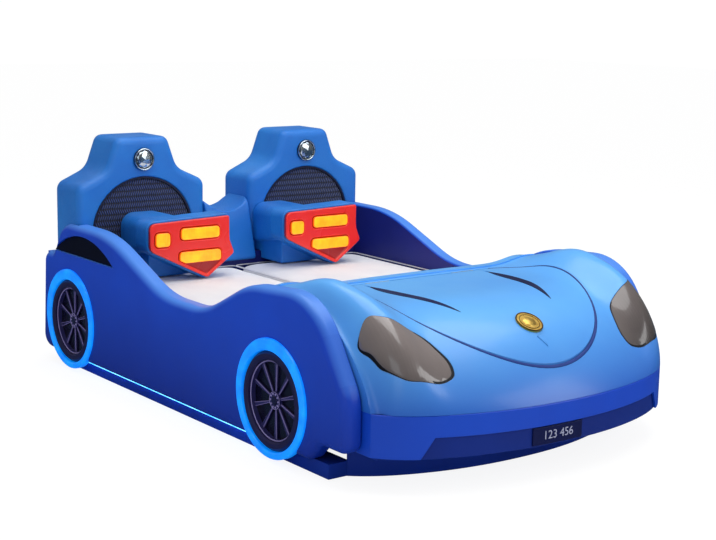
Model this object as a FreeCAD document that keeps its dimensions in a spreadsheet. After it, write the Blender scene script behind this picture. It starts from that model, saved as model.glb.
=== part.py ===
"""Children's car bed for two: a moulded sports-car body round a slatted bed with two children's mattresses.

Frame: +Z up, the bonnet points along -Y, left is -X. Millimetres. The origin is on the floor, at the
middle of the bed's length and width.
"""
import FreeCAD
import Part
import math
import os

from FreeCAD import Placement, Rotation, Vector

OUT = "parts"
os.makedirs(OUT, exist_ok=True)
doc = FreeCAD.newDocument("car_bed")
sheet = doc.addObject("Spreadsheet::Sheet", "Sizes")
SIDES = (("left", -1), ("right", 1))
REACH = 3000
made = []

# ---------------------------------------------------------------- driving dimensions, in millimetres
SIZES = [
    # sleeping place
    ("mattress_width", 750), ("mattress_length", 1400), ("mattress_depth", 130), ("mattress_gap", 3),
    ("mattress_corner", 45), ("mattress_crown", 9), ("mattress_draw", 4), ("side_clearance", 5.5),
    ("end_clearance", 5), ("head_line", 975), ("deck_height", 325), ("slat_thick", 18), ("slat_width", 84),
    ("slat_pitch", 100), ("slat_inset", 3), ("rail_width", 40), ("rail_depth", 90), ("beam_width", 45),
    ("leg_size", 45), ("board_thick", 22), ("screw_radius", 4), ("screw_head", 8), ("screw_length", 36),
    ("screw_head_depth", 4),
    # plinth on the floor, and the light strips above it
    ("plinth_height", 58), ("plinth_width", 95), ("plinth_inset", 50), ("plinth_front_height", 118),
    ("plinth_setback", 268), ("plinth_rear_setback", 135), ("strip_width", 14), ("strip_depth", 8),
    # side panels
    ("panel_depth", 78), ("panel_wall", 12), ("panel_lift", 60), ("panel_tail", 410), ("rim_round", 36),
    ("liner_thick", 12), ("fit_gap", 0.3), ("tail_shelf", 285), ("tail_lean", 29), ("tail_shoulder", 8),
    ("arch_height", 695), ("arch_rear", 185), ("arch_front", 255), ("guard_height", 45),
    ("dip_rear_share", 0.532), ("dip_front_share", 0.236), ("dip_round_share", 0.43),
    ("hump_round_share", 0.32), ("hump_height", 660), ("hump_rise", 30), ("hump_rear", 10),
    ("hump_front", 420), ("panel_front", 650), ("panel_toe", 345), ("toe_rear", 70),
    ("window_depth", 12), ("window_wall", 12), ("window_sill", 553), ("window_apex", 99),
    ("window_lean", 20), ("window_rear", 272), ("window_front", 328), ("seat_rebate", 54),
    # wheels
    ("wheel_radius", 195), ("wheel_height", 236), ("wheel_pocket", 34), ("tyre_proud", 6),
    ("tyre_width", 36), ("tyre_shoulder", 12), ("ring_radius", 235), ("ring_rise", 10), ("ring_pocket", 18),
    ("ring_proud", 12), ("ring_round", 9), ("ring_clearance", 1), ("led_thick", 1.6), ("led_inner", 209),
    ("led_outer", 230), ("front_axle", 178), ("rear_axle", 100), ("spoke_count", 10), ("spoke_width", 15),
    ("spoke_depth", 12), ("hub_radius", 36), ("hub_depth", 18), ("cap_radius", 17), ("cap_depth", 7),
    ("cap_sink", 4), ("cap_round", 2.5), ("rim_lip", 8), ("rim_depth", 24), ("rim_web", 3),
    # bonnet
    ("bonnet_rear", 30), ("bonnet_length", 986), ("nose_sweep", 196), ("nose_corner", 60),
    ("bonnet_base", 285), ("bonnet_rise", 330), ("fender_rise", 100), ("fender_spread", 118),
    ("fender_inset", 105), ("fender_run", 360), ("nose_run", 580), ("skin", 8), ("skin_gap", 2),
    ("lid_half", 528), ("lid_front", 77), ("lid_nose", 600), ("lid_rear", 76), ("lid_corner", 190),
    ("lid_gap", 5), ("lid_front_gap", 14), ("lid_rear_gap", 10), ("lid_flange", 24), ("flange_thick", 6),
    ("lid_seat_rear", 50), ("cowl_thick", 7), ("cowl_width", 46), ("cowl_inset", 70),
    ("badge_radius", 56), ("badge_depth", 9), ("badge_back", 251), ("badge_sink", 4), ("badge_round", 3),
    ("arrow_gap", 66), ("arrow_length", 42), ("arrow_half", 17), ("arrow_height", 3),
    ("lamp_front", 128), ("lamp_sink", 3), ("lens_thick", 4), ("bezel_width", 7), ("bezel_sink", 1),
    ("lamp_lift", 14), ("vent_rear", 100), ("vent_front", 610), ("vent_width", 30), ("vent_bow", 26),
    ("vent_x_rear", 318), ("vent_x_front", 238), ("vent_back", 3), ("vent_lap", 10),
    # hinges of the bonnet lid
    ("barrel_radius", 4), ("pin_radius", 1.8), ("pin_clearance", 0.05), ("hinge_length", 120),
    ("knuckle_gap", 0.5), ("hinge_spacing", 460), ("hinge_sink", 3), ("leaf_thick", 2.5),
    ("leaf_width", 17), ("leaf_drop", 1), ("web_gap", 0.8),
    # nose and toy tub
    ("bumper_top", 295), ("bumper_bottom", 134), ("bumper_wall", 12), ("bumper_return", 85),
    ("bumper_round", 5), ("valance_top", 214), ("valance_half", 620), ("valance_thick", 12),
    ("valance_lap", 20), ("valance_slant", 46), ("plate_half", 122), ("plate_shift", 62),
    ("plate_height", 66), ("plate_thick", 6), ("floor_setback", 56), ("floor_thick", 18),
    ("floor_inset", 30), ("floor_nose", 400), ("floor_rest", 40), ("tub_half", 370), ("tub_length", 620),
    ("tub_top", 455), ("tub_wall", 5), ("tub_setback", 60), ("tub_round", 28),
    # head end
    ("seat_half", 341), ("seat_depth", 250), ("seat_setback", 50), ("seat_top", 1090),
    ("seat_shoulder", 868), ("seat_top_half", 136), ("seat_neck_half", 192), ("seat_neck", 935),
    ("seat_round", 34), ("seat_wall", 14), ("seat_clearance", 1), ("shelf_height", 498), ("mesh_half", 270),
    ("mesh_spring", 640), ("mesh_top", 902), ("mesh_bottom", 540), ("mesh_sink", 24), ("mesh_thick", 12),
    ("piping", 9), ("piping_sink", 4), ("seat_badge_radius", 52), ("seat_badge_depth", 14),
    ("seat_badge_height", 985), ("seat_badge_bevel", 5), ("link_top", 768), ("link_valley", 706),
    ("link_toe", 22), ("link_gap", 1), ("link_front", 12), ("link_back", 40), ("link_foot", 20),
    ("mattress_clearance", 7), ("boot_rise", 32), ("boot_thick", 18), ("boot_gap", 2), ("tail_rise", 6),
    ("tail_thick", 32), ("tail_wall", 10), ("tail_inset", 4), ("tail_round", 14),
    # lamp consoles in front of the seats
    ("console_line", 674.7), ("console_left_shift", 41), ("console_right_shift", -155),
    ("console_left", 222), ("console_left_low", 604), ("console_left_top", 741), ("console_right", 213),
    ("console_right_top", 754), ("notch_height", 634), ("notch_out", 2), ("tip_out", 30),
    ("tip_height", 566), ("apex_x", 88), ("apex_height", 453), ("console_wall", 14),
    ("console_depth", 110), ("block_left", 167), ("block_right", 65), ("block_low", 538),
    ("block_top", 738), ("block_front_low", 600), ("block_front_left", 218), ("block_front_right", 40),
    ("heel_left", 150), ("heel_right", 60), ("heel_top", 600), ("lamp_border", 8), ("fascia_thick", 20),
    ("fascia_rim", 14), ("fascia_pocket", 8), ("pocket_margin", 7), ("lens_proud", 5),
    ("square_x", -187), ("square_z", 657), ("square_width", 74), ("square_height", 64),
    ("upper_bar_x", -55), ("upper_bar_z", 676), ("upper_bar_length", 205), ("lower_bar_x", -62),
    ("lower_bar_z", 567), ("lower_bar_length", 220), ("bar_height", 54), ("bar_round", 16),
    # switch, power inlet and controller
    ("button_radius", 11), ("button_length", 13), ("button_proud", 3), ("button_clearance", 0.25),
    ("button_round", 1.5), ("button_travel", 3), ("collar_radius", 17), ("collar_lip", 3),
    ("collar_lip_radius", 22), ("collar_length", 20), ("button_height", 575), ("button_back", 205),
    ("inlet_radius", 2.75), ("inlet_depth", 10), ("inlet_size", 20), ("inlet_length", 26),
    ("inlet_height", 180), ("inlet_x", 420), ("box_length", 180), ("box_width", 110), ("box_depth", 42),
    ("box_gap", 30),
]
for row, (alias, value) in enumerate(SIZES, start=1):
    sheet.set(f"A{row}", alias)
    sheet.set(f"B{row}", str(value))
    sheet.setAlias(f"B{row}", alias)
doc.recompute()


def size(alias):
    """A driving dimension, read from the sheet."""
    return float(getattr(sheet, alias))


# ---------------------------------------------------------------- lines that several pieces share
gap = size("fit_gap")
cabin_half = size("mattress_width") + size("mattress_gap") / 2 + size("side_clearance")
panel_outer = cabin_half + size("panel_depth")
head_y = size("head_line")
foot_y = head_y - size("end_clearance") * 2 - size("mattress_length")
tail_y = head_y + size("panel_tail")
mattress_top = size("deck_height") + size("mattress_depth")
dip_z = mattress_top + size("guard_height")
hood_rear = foot_y + size("bonnet_rear") + size("end_clearance")
nose_y = hood_rear - size("bonnet_length")
hood_half = cabin_half - size("skin_gap")
slat_under = size("deck_height") - size("slat_thick")
rail_under = slat_under - size("rail_depth")
seat_front = head_y + size("seat_setback")
seat_rear = seat_front + size("seat_depth")
seat_side = cabin_half + size("seat_rebate")
seat_centre = seat_side - size("seat_clearance") - size("seat_half")
seat_low = size("shelf_height") + gap
boot_level = size("shelf_height") + size("boot_rise")
tail_front = tail_y - size("tail_thick")
plinth_outer = panel_outer - size("plinth_inset")
plinth_front_y = nose_y + size("plinth_setback") + size("nose_sweep")
plinth_rear_y = tail_y - size("plinth_rear_setback")

# the same lines as texts, for the boards that are bound to the sheet
CABIN = "(Sizes.mattress_width + Sizes.mattress_gap / 2 + Sizes.side_clearance)"
FOOT = "(Sizes.head_line - 2 * Sizes.end_clearance - Sizes.mattress_length)"
RAIL_UNDER = "(Sizes.deck_height - Sizes.slat_thick - Sizes.rail_depth)"
TAIL = "(Sizes.head_line + Sizes.panel_tail)"
PLINTH_OUTER = f"({CABIN} + Sizes.panel_depth - Sizes.plinth_inset)"
PLINTH_FRONT = (f"({FOOT} + Sizes.bonnet_rear + Sizes.end_clearance - Sizes.bonnet_length"
                " + Sizes.plinth_setback + Sizes.nose_sweep)")
PLINTH_REAR = f"({TAIL} - Sizes.plinth_rear_setback)"
SEAT_REAR = "(Sizes.head_line + Sizes.seat_setback + Sizes.seat_depth)"


# ---------------------------------------------------------------- ways of making a piece
def keep(obj, label):
    """Marks a document object as a sub-part, which is written under its label."""
    obj.Label = label
    made.append(obj)
    return obj


def shaped(label, shape):
    """A sub-part whose shape is worked out here from the sheet's sizes."""
    obj = doc.addObject("Part::Feature", label)
    obj.Shape = shape
    return keep(obj, label)


def board(label, length, width, height, x, y, z):
    """A rectangular board whose sizes and corner are bound to the sheet."""
    obj = doc.addObject("Part::Box", label)
    props = ("Length", "Width", "Height", "Placement.Base.x", "Placement.Base.y", "Placement.Base.z")
    for prop, text in zip(props, (length, width, height, x, y, z)):
        obj.setExpression(prop, text)
    return keep(obj, label)


def block(x0, x1, y0, y1, z0, z1):
    """A box between two corners, as a shape."""
    low = Vector(min(x0, x1), min(y0, y1), min(z0, z1))
    return Part.makeBox(abs(x1 - x0), abs(y1 - y0), abs(z1 - z0), low)


def rounded(points, radii, place):
    """A closed wire of straight runs with a tangent arc at each corner; place lifts (a, b) into 3-D."""
    count = len(points)
    ends = []
    for i, (corner, radius) in enumerate(zip(points, radii)):
        here = Vector(corner[0], corner[1], 0)
        before = (Vector(*points[i - 1], 0) - here).normalize()
        after = (Vector(*points[(i + 1) % count], 0) - here).normalize()
        half = before.getAngle(after) / 2
        reach = radius / math.tan(half)
        middle = (before + after).normalize() * (radius / math.sin(half) - radius)
        ends.append((here + before * reach, here + middle, here + after * reach))
    edges = []
    for i, (start, middle, end) in enumerate(ends):
        edges.append(Part.Arc(*[place(p.x, p.y) for p in (start, middle, end)]).toShape())
        following = ends[(i + 1) % count][0]
        if (following - end).Length > 1e-6:
            edges.append(Part.LineSegment(place(end.x, end.y), place(following.x, following.y)).toShape())
    return Part.Wire(edges)


def in_yz(x):
    """Lifts (y, z) onto the plane at x."""
    return lambda a, b: Vector(x, a, b)


def in_xz(y):
    """Lifts (x, z) onto the plane at y."""
    return lambda a, b: Vector(a, y, b)


def slab_along(wire, x=0.0, y=0.0, z=0.0):
    """The solid that a flat closed wire sweeps along a direction."""
    return Part.Face(wire).extrude(Vector(x, y, z))


def inset_wire(wire, inset):
    """A flat closed wire drawn in by an inset."""
    return Part.Face(wire).makeOffset2D(-inset).Wires[0] if inset else wire


def edges_at(shape, axis, value, tolerance=0.01):
    """The edges that lie wholly in the plane where the axis has the value."""
    low, high = axis + "Min", axis + "Max"
    return [e for e in shape.Edges
            if abs(getattr(e.BoundBox, low) - value) < tolerance
            and abs(getattr(e.BoundBox, high) - value) < tolerance]


def mirrored(shape):
    """The same shape on the other side of the middle plane."""
    return shape.mirror(Vector(0, 0, 0), Vector(1, 0, 0))


def both_sides(name, left_shape):
    """Makes the left sub-part and its mirror image."""
    shaped(name + "_left", left_shape)
    shaped(name + "_right", mirrored(left_shape))


def pair(name, left_shape):
    """Makes one sub-part of a left shape and its mirror image."""
    shaped(name, Part.makeCompound([left_shape, mirrored(left_shape)]))


def rod(radius, length, at, along):
    """A cylinder from a point along a direction."""
    return Part.makeCylinder(radius, length, Vector(*at), Vector(*along))


def smooth_line(points, closed=False):
    """One smooth edge through points."""
    line = Part.BSplineCurve()
    line.interpolate(points, PeriodicFlag=closed)
    return line.toShape()


# ---------------------------------------------------------------- bed frame
def slat_starts():
    """The y of each slat's foot-side edge, evenly spaced under the mattresses."""
    count = int((size("mattress_length") - size("slat_width")) // size("slat_pitch")) + 1
    run = (count - 1) * size("slat_pitch") + size("slat_width")
    first = (head_y + foot_y - run) / 2
    return [first + i * size("slat_pitch") for i in range(count)]


def slat_screws():
    """The countersunk screws that hold the end slats to the rails and the beam."""
    reach = cabin_half - size("slat_inset") - size("rail_width") / 2
    screws = []
    for y in (slat_starts()[0], slat_starts()[-1]):
        for x in (-reach, 0, reach):
            top = (x, y + size("slat_width") / 2, size("deck_height"))
            shank = rod(size("screw_radius"), size("screw_length"), top, (0, 0, -1))
            head = rod(size("screw_head"), size("screw_head_depth"), top, (0, 0, -1))
            screws.append(shank.fuse(head).removeSplitter())
    return Part.makeCompound(screws)


def bed_frame():
    """Rails, beam, legs and slats with their screws."""
    screws = slat_screws()
    shaped("slat_screws", screws)
    half = cabin_half - size("slat_inset")
    slats = [block(-half, half, y, y + size("slat_width"), slat_under, size("deck_height"))
             for y in slat_starts()]
    shaped("deck_slats", Part.makeCompound([slat.cut(screws) for slat in slats]))
    outer, inner = cabin_half, cabin_half - size("rail_width")
    rail = block(-outer, -inner, foot_y, head_y, rail_under, slat_under)
    both_sides("side_rail", rail.cut(screws))
    beam_half = size("beam_width") / 2
    beam = block(-beam_half, beam_half, foot_y, head_y, rail_under, slat_under)
    shaped("centre_beam", beam.cut(screws))
    leg_half = size("leg_size") / 2
    thirds = [foot_y + size("mattress_length") * share / 3 for share in (1, 2)]
    legs = [block(-leg_half, leg_half, y - leg_half, y + leg_half, 0, rail_under) for y in thirds]
    shaped("centre_legs", Part.makeCompound(legs))


def cross_boards():
    """The boards that close the bed's ends and carry the seats and the bonnet."""
    width = f"2 * {CABIN} - 2 * Sizes.skin_gap"
    left = f"-{CABIN} + Sizes.skin_gap"
    thick = "Sizes.board_thick"
    under_shelf = f"Sizes.shelf_height - {thick}"
    tall = f"{under_shelf} - Sizes.plinth_height"
    board("head_board", width, thick, tall, left, "Sizes.head_line", "Sizes.plinth_height")
    board("seat_shelf", width, "Sizes.panel_tail - Sizes.tail_thick", thick, left, "Sizes.head_line",
          under_shelf)
    board("tail_board", width, thick, tall, left,
          "Sizes.head_line + Sizes.plinth_rear_setback + Sizes.plinth_width", "Sizes.plinth_height")
    board("light_controller", "Sizes.box_length", "Sizes.box_width", "Sizes.box_depth",
          "-Sizes.box_length / 2", f"Sizes.head_line + {thick} + Sizes.box_gap",
          f"{under_shelf} - Sizes.box_depth")
    half = hood_half - size("skin") - gap
    back = block(-half, half, foot_y - size("board_thick"), foot_y, size("plinth_height"), REACH)
    drop = size("skin") + gap
    shaped("foot_bulkhead", back.common(bonnet_block().translated(Vector(0, drop, -drop))))


# ---------------------------------------------------------------- plinth
def plinth():
    """The low frame that the whole bed stands on, set back under the body, and its light strips."""
    run = f"{PLINTH_REAR} - {PLINTH_FRONT}"
    for side, sign in SIDES:
        x = f"-{PLINTH_OUTER}" if sign < 0 else f"{PLINTH_OUTER} - Sizes.plinth_width"
        board(f"plinth_{side}", "Sizes.plinth_width", run, "Sizes.plinth_height", x, PLINTH_FRONT, "0")
    board("plinth_rear", f"2 * ({PLINTH_OUTER} - Sizes.plinth_width)", "Sizes.plinth_width",
          "Sizes.plinth_height", f"Sizes.plinth_width - {PLINTH_OUTER}",
          f"{PLINTH_REAR} - Sizes.plinth_width", "0")
    setback = size("plinth_setback")
    front = nose_slab(setback, setback + size("plinth_width"), plinth_outer, 0, size("plinth_front_height"))
    ahead = block(-plinth_outer, plinth_outer, nose_y, plinth_front_y, 0, REACH)
    shaped("plinth_front", front.common(ahead))
    top = size("panel_lift") - gap
    first = dict(wheel_places())["front"]
    pair("underglow_strips", block(-plinth_outer - size("strip_width"), -plinth_outer, first,
                                   plinth_rear_y - size("plinth_width"), top - size("strip_depth"), top))


# ---------------------------------------------------------------- side panels
def panel_outline(x, inset=0.0):
    """The side panel's outline at x: tail, seat arch, entry dip, wing hump, front edge and raised toe."""
    bottom, toe_low = size("panel_lift"), size("bumper_bottom")
    run = size("mattress_length")
    dip_rear = head_y - run * size("dip_rear_share")
    dip_front = foot_y + run * size("dip_front_share")
    front = foot_y - size("panel_front")
    toe_rear = foot_y - size("front_axle") - size("ring_radius") - size("toe_rear")
    shelf = boot_level + size("tail_shoulder")
    corners = [
        (tail_y, bottom, 70), (tail_y - size("tail_lean"), shelf, 55),
        (head_y + size("tail_shelf"), shelf, 28),
        (head_y + size("arch_rear"), size("arch_height"), 140),
        (head_y - size("arch_front"), size("arch_height"), 0.57 * run),
        (dip_rear, dip_z, size("dip_round_share") * run), (dip_front, dip_z, size("hump_round_share") * run),
        (foot_y + size("hump_rear"), size("hump_height"), size("hump_round_share") * run),
        (foot_y - size("hump_front"), size("hump_height") + size("hump_rise"), 280),
        (front, size("panel_toe"), 180), (front, toe_low, 50), (toe_rear, toe_low, 60),
        (toe_rear + size("toe_rear"), bottom, 60),
    ]
    points = [(a, b) for a, b, _ in corners]
    return inset_wire(rounded(points, [r for _, _, r in corners], in_yz(x)), inset)


def window_outline(x, grow=0.0):
    """The arched recess behind the rear wing: a flat sill under one arc."""
    rear = head_y + size("window_rear") + grow
    front = head_y - size("window_front") - grow
    sill = size("window_sill") - grow
    start, end = Vector(x, rear, sill), Vector(x, front, sill)
    crown = Vector(x, (rear + front) / 2 + size("window_lean"), sill + size("window_apex") + 2 * grow)
    return Part.Wire([Part.Arc(start, crown, end).toShape(), Part.LineSegment(end, start).toShape()])


def wheel_places():
    """The y of the front and rear wheel centres."""
    return (("front", foot_y - size("front_axle")), ("rear", head_y + size("rear_axle")))


def wheel_wells(grow, ring_grow, extra):
    """The round pockets of the wheels and their light rings in the left panel."""
    wells = []
    for _, y in wheel_places():
        middle = (-panel_outer, y, size("wheel_height"))
        above = (-panel_outer, y, size("wheel_height") + size("ring_rise"))
        wells.append(rod(size("wheel_radius") + grow, size("wheel_pocket") + extra, middle, (1, 0, 0)))
        wells.append(rod(size("ring_radius") + ring_grow, size("ring_pocket") + extra, above, (1, 0, 0)))
    return wells


def side_panels():
    """The moulded side shells, with wheel and window recesses, and the liners that close them inside."""
    outer, wall, step = -panel_outer, size("panel_wall"), size("window_wall")
    above_floor = size("panel_lift") + 1
    solid = slab_along(panel_outline(outer), x=size("panel_depth"))
    rim = [e for e in edges_at(solid, "X", outer) if e.BoundBox.ZMax > above_floor]
    solid = solid.makeFillet(size("rim_round"), rim)
    inner_rim = [e for e in edges_at(solid, "X", -cabin_half) if e.BoundBox.ZMax > above_floor]
    solid = solid.makeFillet(size("rim_round") / 3, inner_rim)
    low = size("shelf_height")
    rebate = block(-seat_side, 0, seat_front - gap, tail_y + 1, low, REACH)
    behind = block(-seat_side - step, 0, seat_front - gap - wall, tail_y, low - wall, REACH)
    window = slab_along(window_outline(outer), x=size("window_depth"))
    backing = slab_along(window_outline(outer, wall), x=size("window_depth") + step)
    cavity = slab_along(panel_outline(outer + wall, wall), x=size("panel_depth"))
    for solid_part in [backing, behind] + wheel_wells(wall, wall, wall):
        cavity = cavity.cut(solid_part)
    panel = solid.cut(cavity)
    for hollow in [window, rebate] + wheel_wells(size("ring_clearance") + 0.5, size("ring_clearance"), 0):
        panel = panel.cut(hollow)
    both_sides("side_panel", panel.removeSplitter())
    liner = slab_along(panel_outline(-cabin_half - size("liner_thick"), wall + gap), x=size("liner_thick"))
    grown = block(-seat_side - step, 0, seat_front - wall - 2 * gap, tail_y, low - wall - gap, REACH)
    liner = liner.cut(grown)
    through = (-cabin_half - 1.5 * size("liner_thick"), head_y - size("button_back"), size("button_height"))
    hole = rod(size("collar_radius") + gap, 2 * size("liner_thick"), through, (1, 0, 0))
    shaped("side_liner_left", liner.cut(hole))
    shaped("side_liner_right", mirrored(liner))


# ---------------------------------------------------------------- wheels
def wheel_frame(sign, y):
    """A placement whose local Z points outwards from a side panel's wheel pocket and local X up."""
    turn = Rotation(Vector(0, 1, 0), -90)
    if sign > 0:
        turn = Rotation(Vector(0, 1, 0), 90) * Rotation(Vector(0, 0, 1), 180)
    return Placement(Vector(sign * (panel_outer - size("wheel_pocket")), y, size("wheel_height")), turn)


def tyre_section():
    """A tyre ring, turned from a sketch of its section."""
    body = doc.addObject("PartDesign::Body", "tyre_blank")
    sketch = body.newObject("Sketcher::SketchObject", "tyre_outline")
    sketch.AttachmentSupport = (next(f for f in body.Origin.OriginFeatures if f.Role == "XZ_Plane"), [""])
    sketch.MapMode = "FlatFace"
    outer = size("wheel_radius")
    inner = outer - size("tyre_width")
    high = size("wheel_pocket") + size("tyre_proud")
    shoulder = size("tyre_shoulder")
    corners = [(inner, gap), (outer, gap), (outer, high - shoulder), (outer - shoulder, high),
               (inner + shoulder / 2, high), (inner, high - shoulder / 2)]
    for here, after in zip(corners, corners[1:] + corners[:1]):
        sketch.addGeometry(Part.LineSegment(Vector(*here, 0), Vector(*after, 0)), False)
    turned = body.newObject("PartDesign::Revolution", "tyre_turned")
    turned.Profile = sketch
    turned.ReferenceAxis = (sketch, ["V_Axis"])
    turned.Angle = 360
    doc.recompute()
    return body.Shape


def trim():
    """A ten-spoke trim: lip ring, thin web, hub and one tapered spoke repeated round the axle."""
    lip_outer = size("wheel_radius") - size("tyre_width") - gap
    lip_inner = lip_outer - size("rim_lip")
    foot, up = (0, 0, 0), (0, 0, 1)
    shape = rod(lip_outer, size("rim_depth"), foot, up).cut(rod(lip_inner, size("rim_depth"), foot, up))
    shape = shape.fuse(rod(lip_outer, size("rim_web"), foot, up))
    shape = shape.fuse(rod(size("hub_radius"), size("hub_depth"), foot, up))
    wide = size("spoke_width") / 2
    root, tip = 0.8 * size("hub_radius"), lip_inner + 1
    corners = [(root, -0.55 * wide), (tip, -1.25 * wide), (tip, 1.25 * wide), (root, 0.55 * wide)]
    low = size("rim_web") - 1
    face = Part.Face(Part.makePolygon([Vector(a, b, low) for a, b in corners + corners[:1]]))
    spoke = face.extrude(Vector(0, 0, size("spoke_depth")))
    long_edges = [e for e in edges_at(spoke, "Z", low + size("spoke_depth")) if e.Length > size("hub_radius")]
    spoke = spoke.makeChamfer(0.4 * wide, long_edges)
    count = int(size("spoke_count"))
    for i in range(count):
        turned = spoke.copy()
        turned.rotate(Vector(0, 0, 0), Vector(0, 0, 1), 360 * i / count)
        shape = shape.fuse(turned)
    seat = size("hub_depth") - size("cap_sink")
    shape = shape.cut(rod(size("cap_radius") + gap, size("hub_depth"), (0, 0, seat), up))
    return shape.translated(Vector(0, 0, gap)).removeSplitter()


def hub_cap():
    """The domed cap in the middle of a trim."""
    base = size("hub_depth") - size("cap_sink") + 2 * gap
    cap = rod(size("cap_radius"), size("cap_depth"), (0, 0, base), (0, 0, 1))
    return cap.makeFillet(size("cap_round"), edges_at(cap, "Z", base + size("cap_depth")))


def light_board():
    """The ring-shaped circuit board of a wheel's light."""
    foot = (size("ring_rise"), 0, size("wheel_pocket") - size("ring_pocket") + gap)
    outer = rod(size("led_outer"), size("led_thick"), foot, (0, 0, 1))
    return outer.cut(rod(size("led_inner"), size("led_thick"), foot, (0, 0, 1)))


def light_ring():
    """The translucent ring round a tyre, thicker above than below."""
    foot = size("wheel_pocket") - size("ring_pocket") + size("led_thick") + 2 * gap
    tall = size("wheel_pocket") + size("ring_proud") - foot
    ring = rod(size("ring_radius"), tall, (size("ring_rise"), 0, foot), (0, 0, 1))
    ring = ring.cut(rod(size("wheel_radius") + size("ring_clearance"), tall, (0, 0, foot), (0, 0, 1)))
    return ring.makeFillet(size("ring_round"), edges_at(ring, "Z", foot + tall))


def wheels():
    """The four wheels: each kind of piece is one sub-part with four copies."""
    kinds = {"wheel_tyres": tyre_section(), "wheel_trims": trim(), "wheel_hub_caps": hub_cap(),
             "wheel_light_boards": light_board(), "wheel_light_rings": light_ring()}
    for label, one in kinds.items():
        copies = []
        for _, y in wheel_places():
            for _, sign in SIDES:
                copy = one.copy()
                copy.Placement = wheel_frame(sign, y).multiply(one.Placement)
                copies.append(copy)
        shaped(label, Part.makeCompound(copies))


# ---------------------------------------------------------------- nose curve and bonnet surface
def nose_curve(x):
    """The y of the body's front line at x: bowed forwards in the middle, rounded at the corners."""
    share = abs(x) / hood_half
    return nose_y + size("nose_sweep") * share ** 2.2 + size("nose_corner") * share ** 10


def nose_edge(shift, half, z, steps=16):
    """The front line as one smooth edge, moved back by shift, and its two ends."""
    xs = [-half + 2 * half * i / steps for i in range(steps + 1)]
    points = [Vector(x, nose_curve(x) + shift, z) for x in xs]
    return smooth_line(points), points[0], points[-1]


def nose_slab(front_shift, rear_shift, half, low, high):
    """A slab between two heights whose front and back follow the front line."""
    front, front_left, front_right = nose_edge(front_shift, half, low)
    back, back_left, back_right = nose_edge(rear_shift, half, low)
    right = Part.LineSegment(front_right, back_right).toShape()
    left = Part.LineSegment(back_left, front_left).toShape()
    return slab_along(Part.Wire([front, right, back.reversed(), left]), z=high - low)


def hood_height(x, y):
    """The height of the bonnet's surface: a blunt nose, two raised wings and a flat middle."""
    left = max(0.0, 1 - max(0.0, y - nose_curve(x)) / size("nose_run"))
    off = abs(x) - (hood_half - size("fender_inset"))
    wing = math.exp(-((off / size("fender_spread")) ** 2))
    back = min(1.0, max(0.0, (hood_rear - y) / size("fender_run")))
    fade = 0.25 + 0.75 * back * back * (3 - 2 * back)
    sharp = 0.8 - 0.3 * math.exp(-(((off + 10) / 95) ** 2))
    rise = size("bonnet_rise") + size("fender_rise") * wing * fade
    return size("bonnet_base") + rise * (1 - left ** 2.3) ** sharp


def bonnet_block():
    """The space under the bonnet's surface, as a solid whose top is one smooth face."""
    across, along = 26, 16
    grid = []
    for i in range(across + 1):
        x = -hood_half + 2 * hood_half * i / across
        reach = hood_rear + size("cowl_width") - nose_curve(x)
        ys = [nose_curve(x) + reach * (j / along) ** 2.1 for j in range(along + 1)]
        grid.append([Vector(x, y, hood_height(x, y)) for y in ys])
    surface = Part.BSplineSurface()
    surface.interpolate(grid)
    return surface.toShape().extrude(Vector(0, 0, -size("bonnet_rise") * 2))


def lid_outline(grow, front_cut=0.0, rear_cut=0.0):
    """The bonnet lid's plan outline: a half ellipse in front, a straight rear edge with round corners."""
    middle = nose_y + size("lid_front") + size("lid_nose")
    half = size("lid_half") + grow
    long = size("lid_nose") + grow - front_cut
    rear = hood_rear - size("lid_rear") + grow - rear_cut
    corner_x, corner_y = size("lid_corner"), rear - middle

    def quarter(cx, rx, ry, start):
        turns = [start + math.pi / 2 * k / 8 for k in range(9)]
        return smooth_line([Vector(cx + rx * math.cos(a), middle + ry * math.sin(a), 0) for a in turns])

    inner = half - corner_x
    straight = Part.LineSegment(Vector(inner, rear, 0), Vector(-inner, rear, 0)).toShape()
    return Part.Wire([quarter(inner, corner_x, corner_y, 0), straight,
                      quarter(-inner, corner_x, corner_y, math.pi / 2),
                      quarter(0, half, long, math.pi), quarter(0, half, long, 1.5 * math.pi)])


def prism(wire, low=0.0):
    """A wire drawn at z 0 stood up as a tall cutting solid."""
    return slab_along(wire, z=REACH).translated(Vector(0, 0, low))


def headlamp_outline(sign, share=1.0):
    """A headlamp's plan outline, shrunk about its middle by share."""
    points = [(714, 262), (686, 256), (646, 222), (569, 203), (500, 176), (460, 104), (446, 54), (456, 26),
              (486, 17), (573, 22), (644, 47), (683, 88), (706, 146), (718, 214)]
    middle_x, middle_y = hood_half - 165, nose_y + size("lamp_front") + 130
    scale = share * hood_half / 755
    places = [Vector(sign * (middle_x + (a - 590) * scale), middle_y + (b - 130) * share, 0)
              for a, b in points]
    return Part.Wire([smooth_line(places, closed=True)])


def vent_outline(sign, grow=0.0):
    """One slot of the bonnet's vents: a long leaf that narrows to both ends."""
    rear = hood_rear - size("vent_rear") + grow
    front = hood_rear - size("vent_front") - grow
    wide = size("vent_width") / 2 + grow
    x_rear, x_front = size("vent_x_rear"), size("vent_x_front")
    sides = []
    for out in (1, -1):
        points = []
        for share in (k / 8 for k in range(9)):
            swell = math.sin(math.pi * share)
            x = x_rear + (x_front - x_rear) * share + size("vent_bow") * swell + out * wide * swell ** 0.6
            points.append(Vector(sign * x, rear + (front - rear) * share, 0))
        sides.append(smooth_line(points))
    return Part.Wire(sides)


def layer(space, top, bottom, tool):
    """The part of the bonnet between two depths below its surface, inside a tool."""
    upper = space.translated(Vector(0, top, -top)).common(tool)
    return upper.cut(space.translated(Vector(0, bottom, -bottom)))


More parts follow.
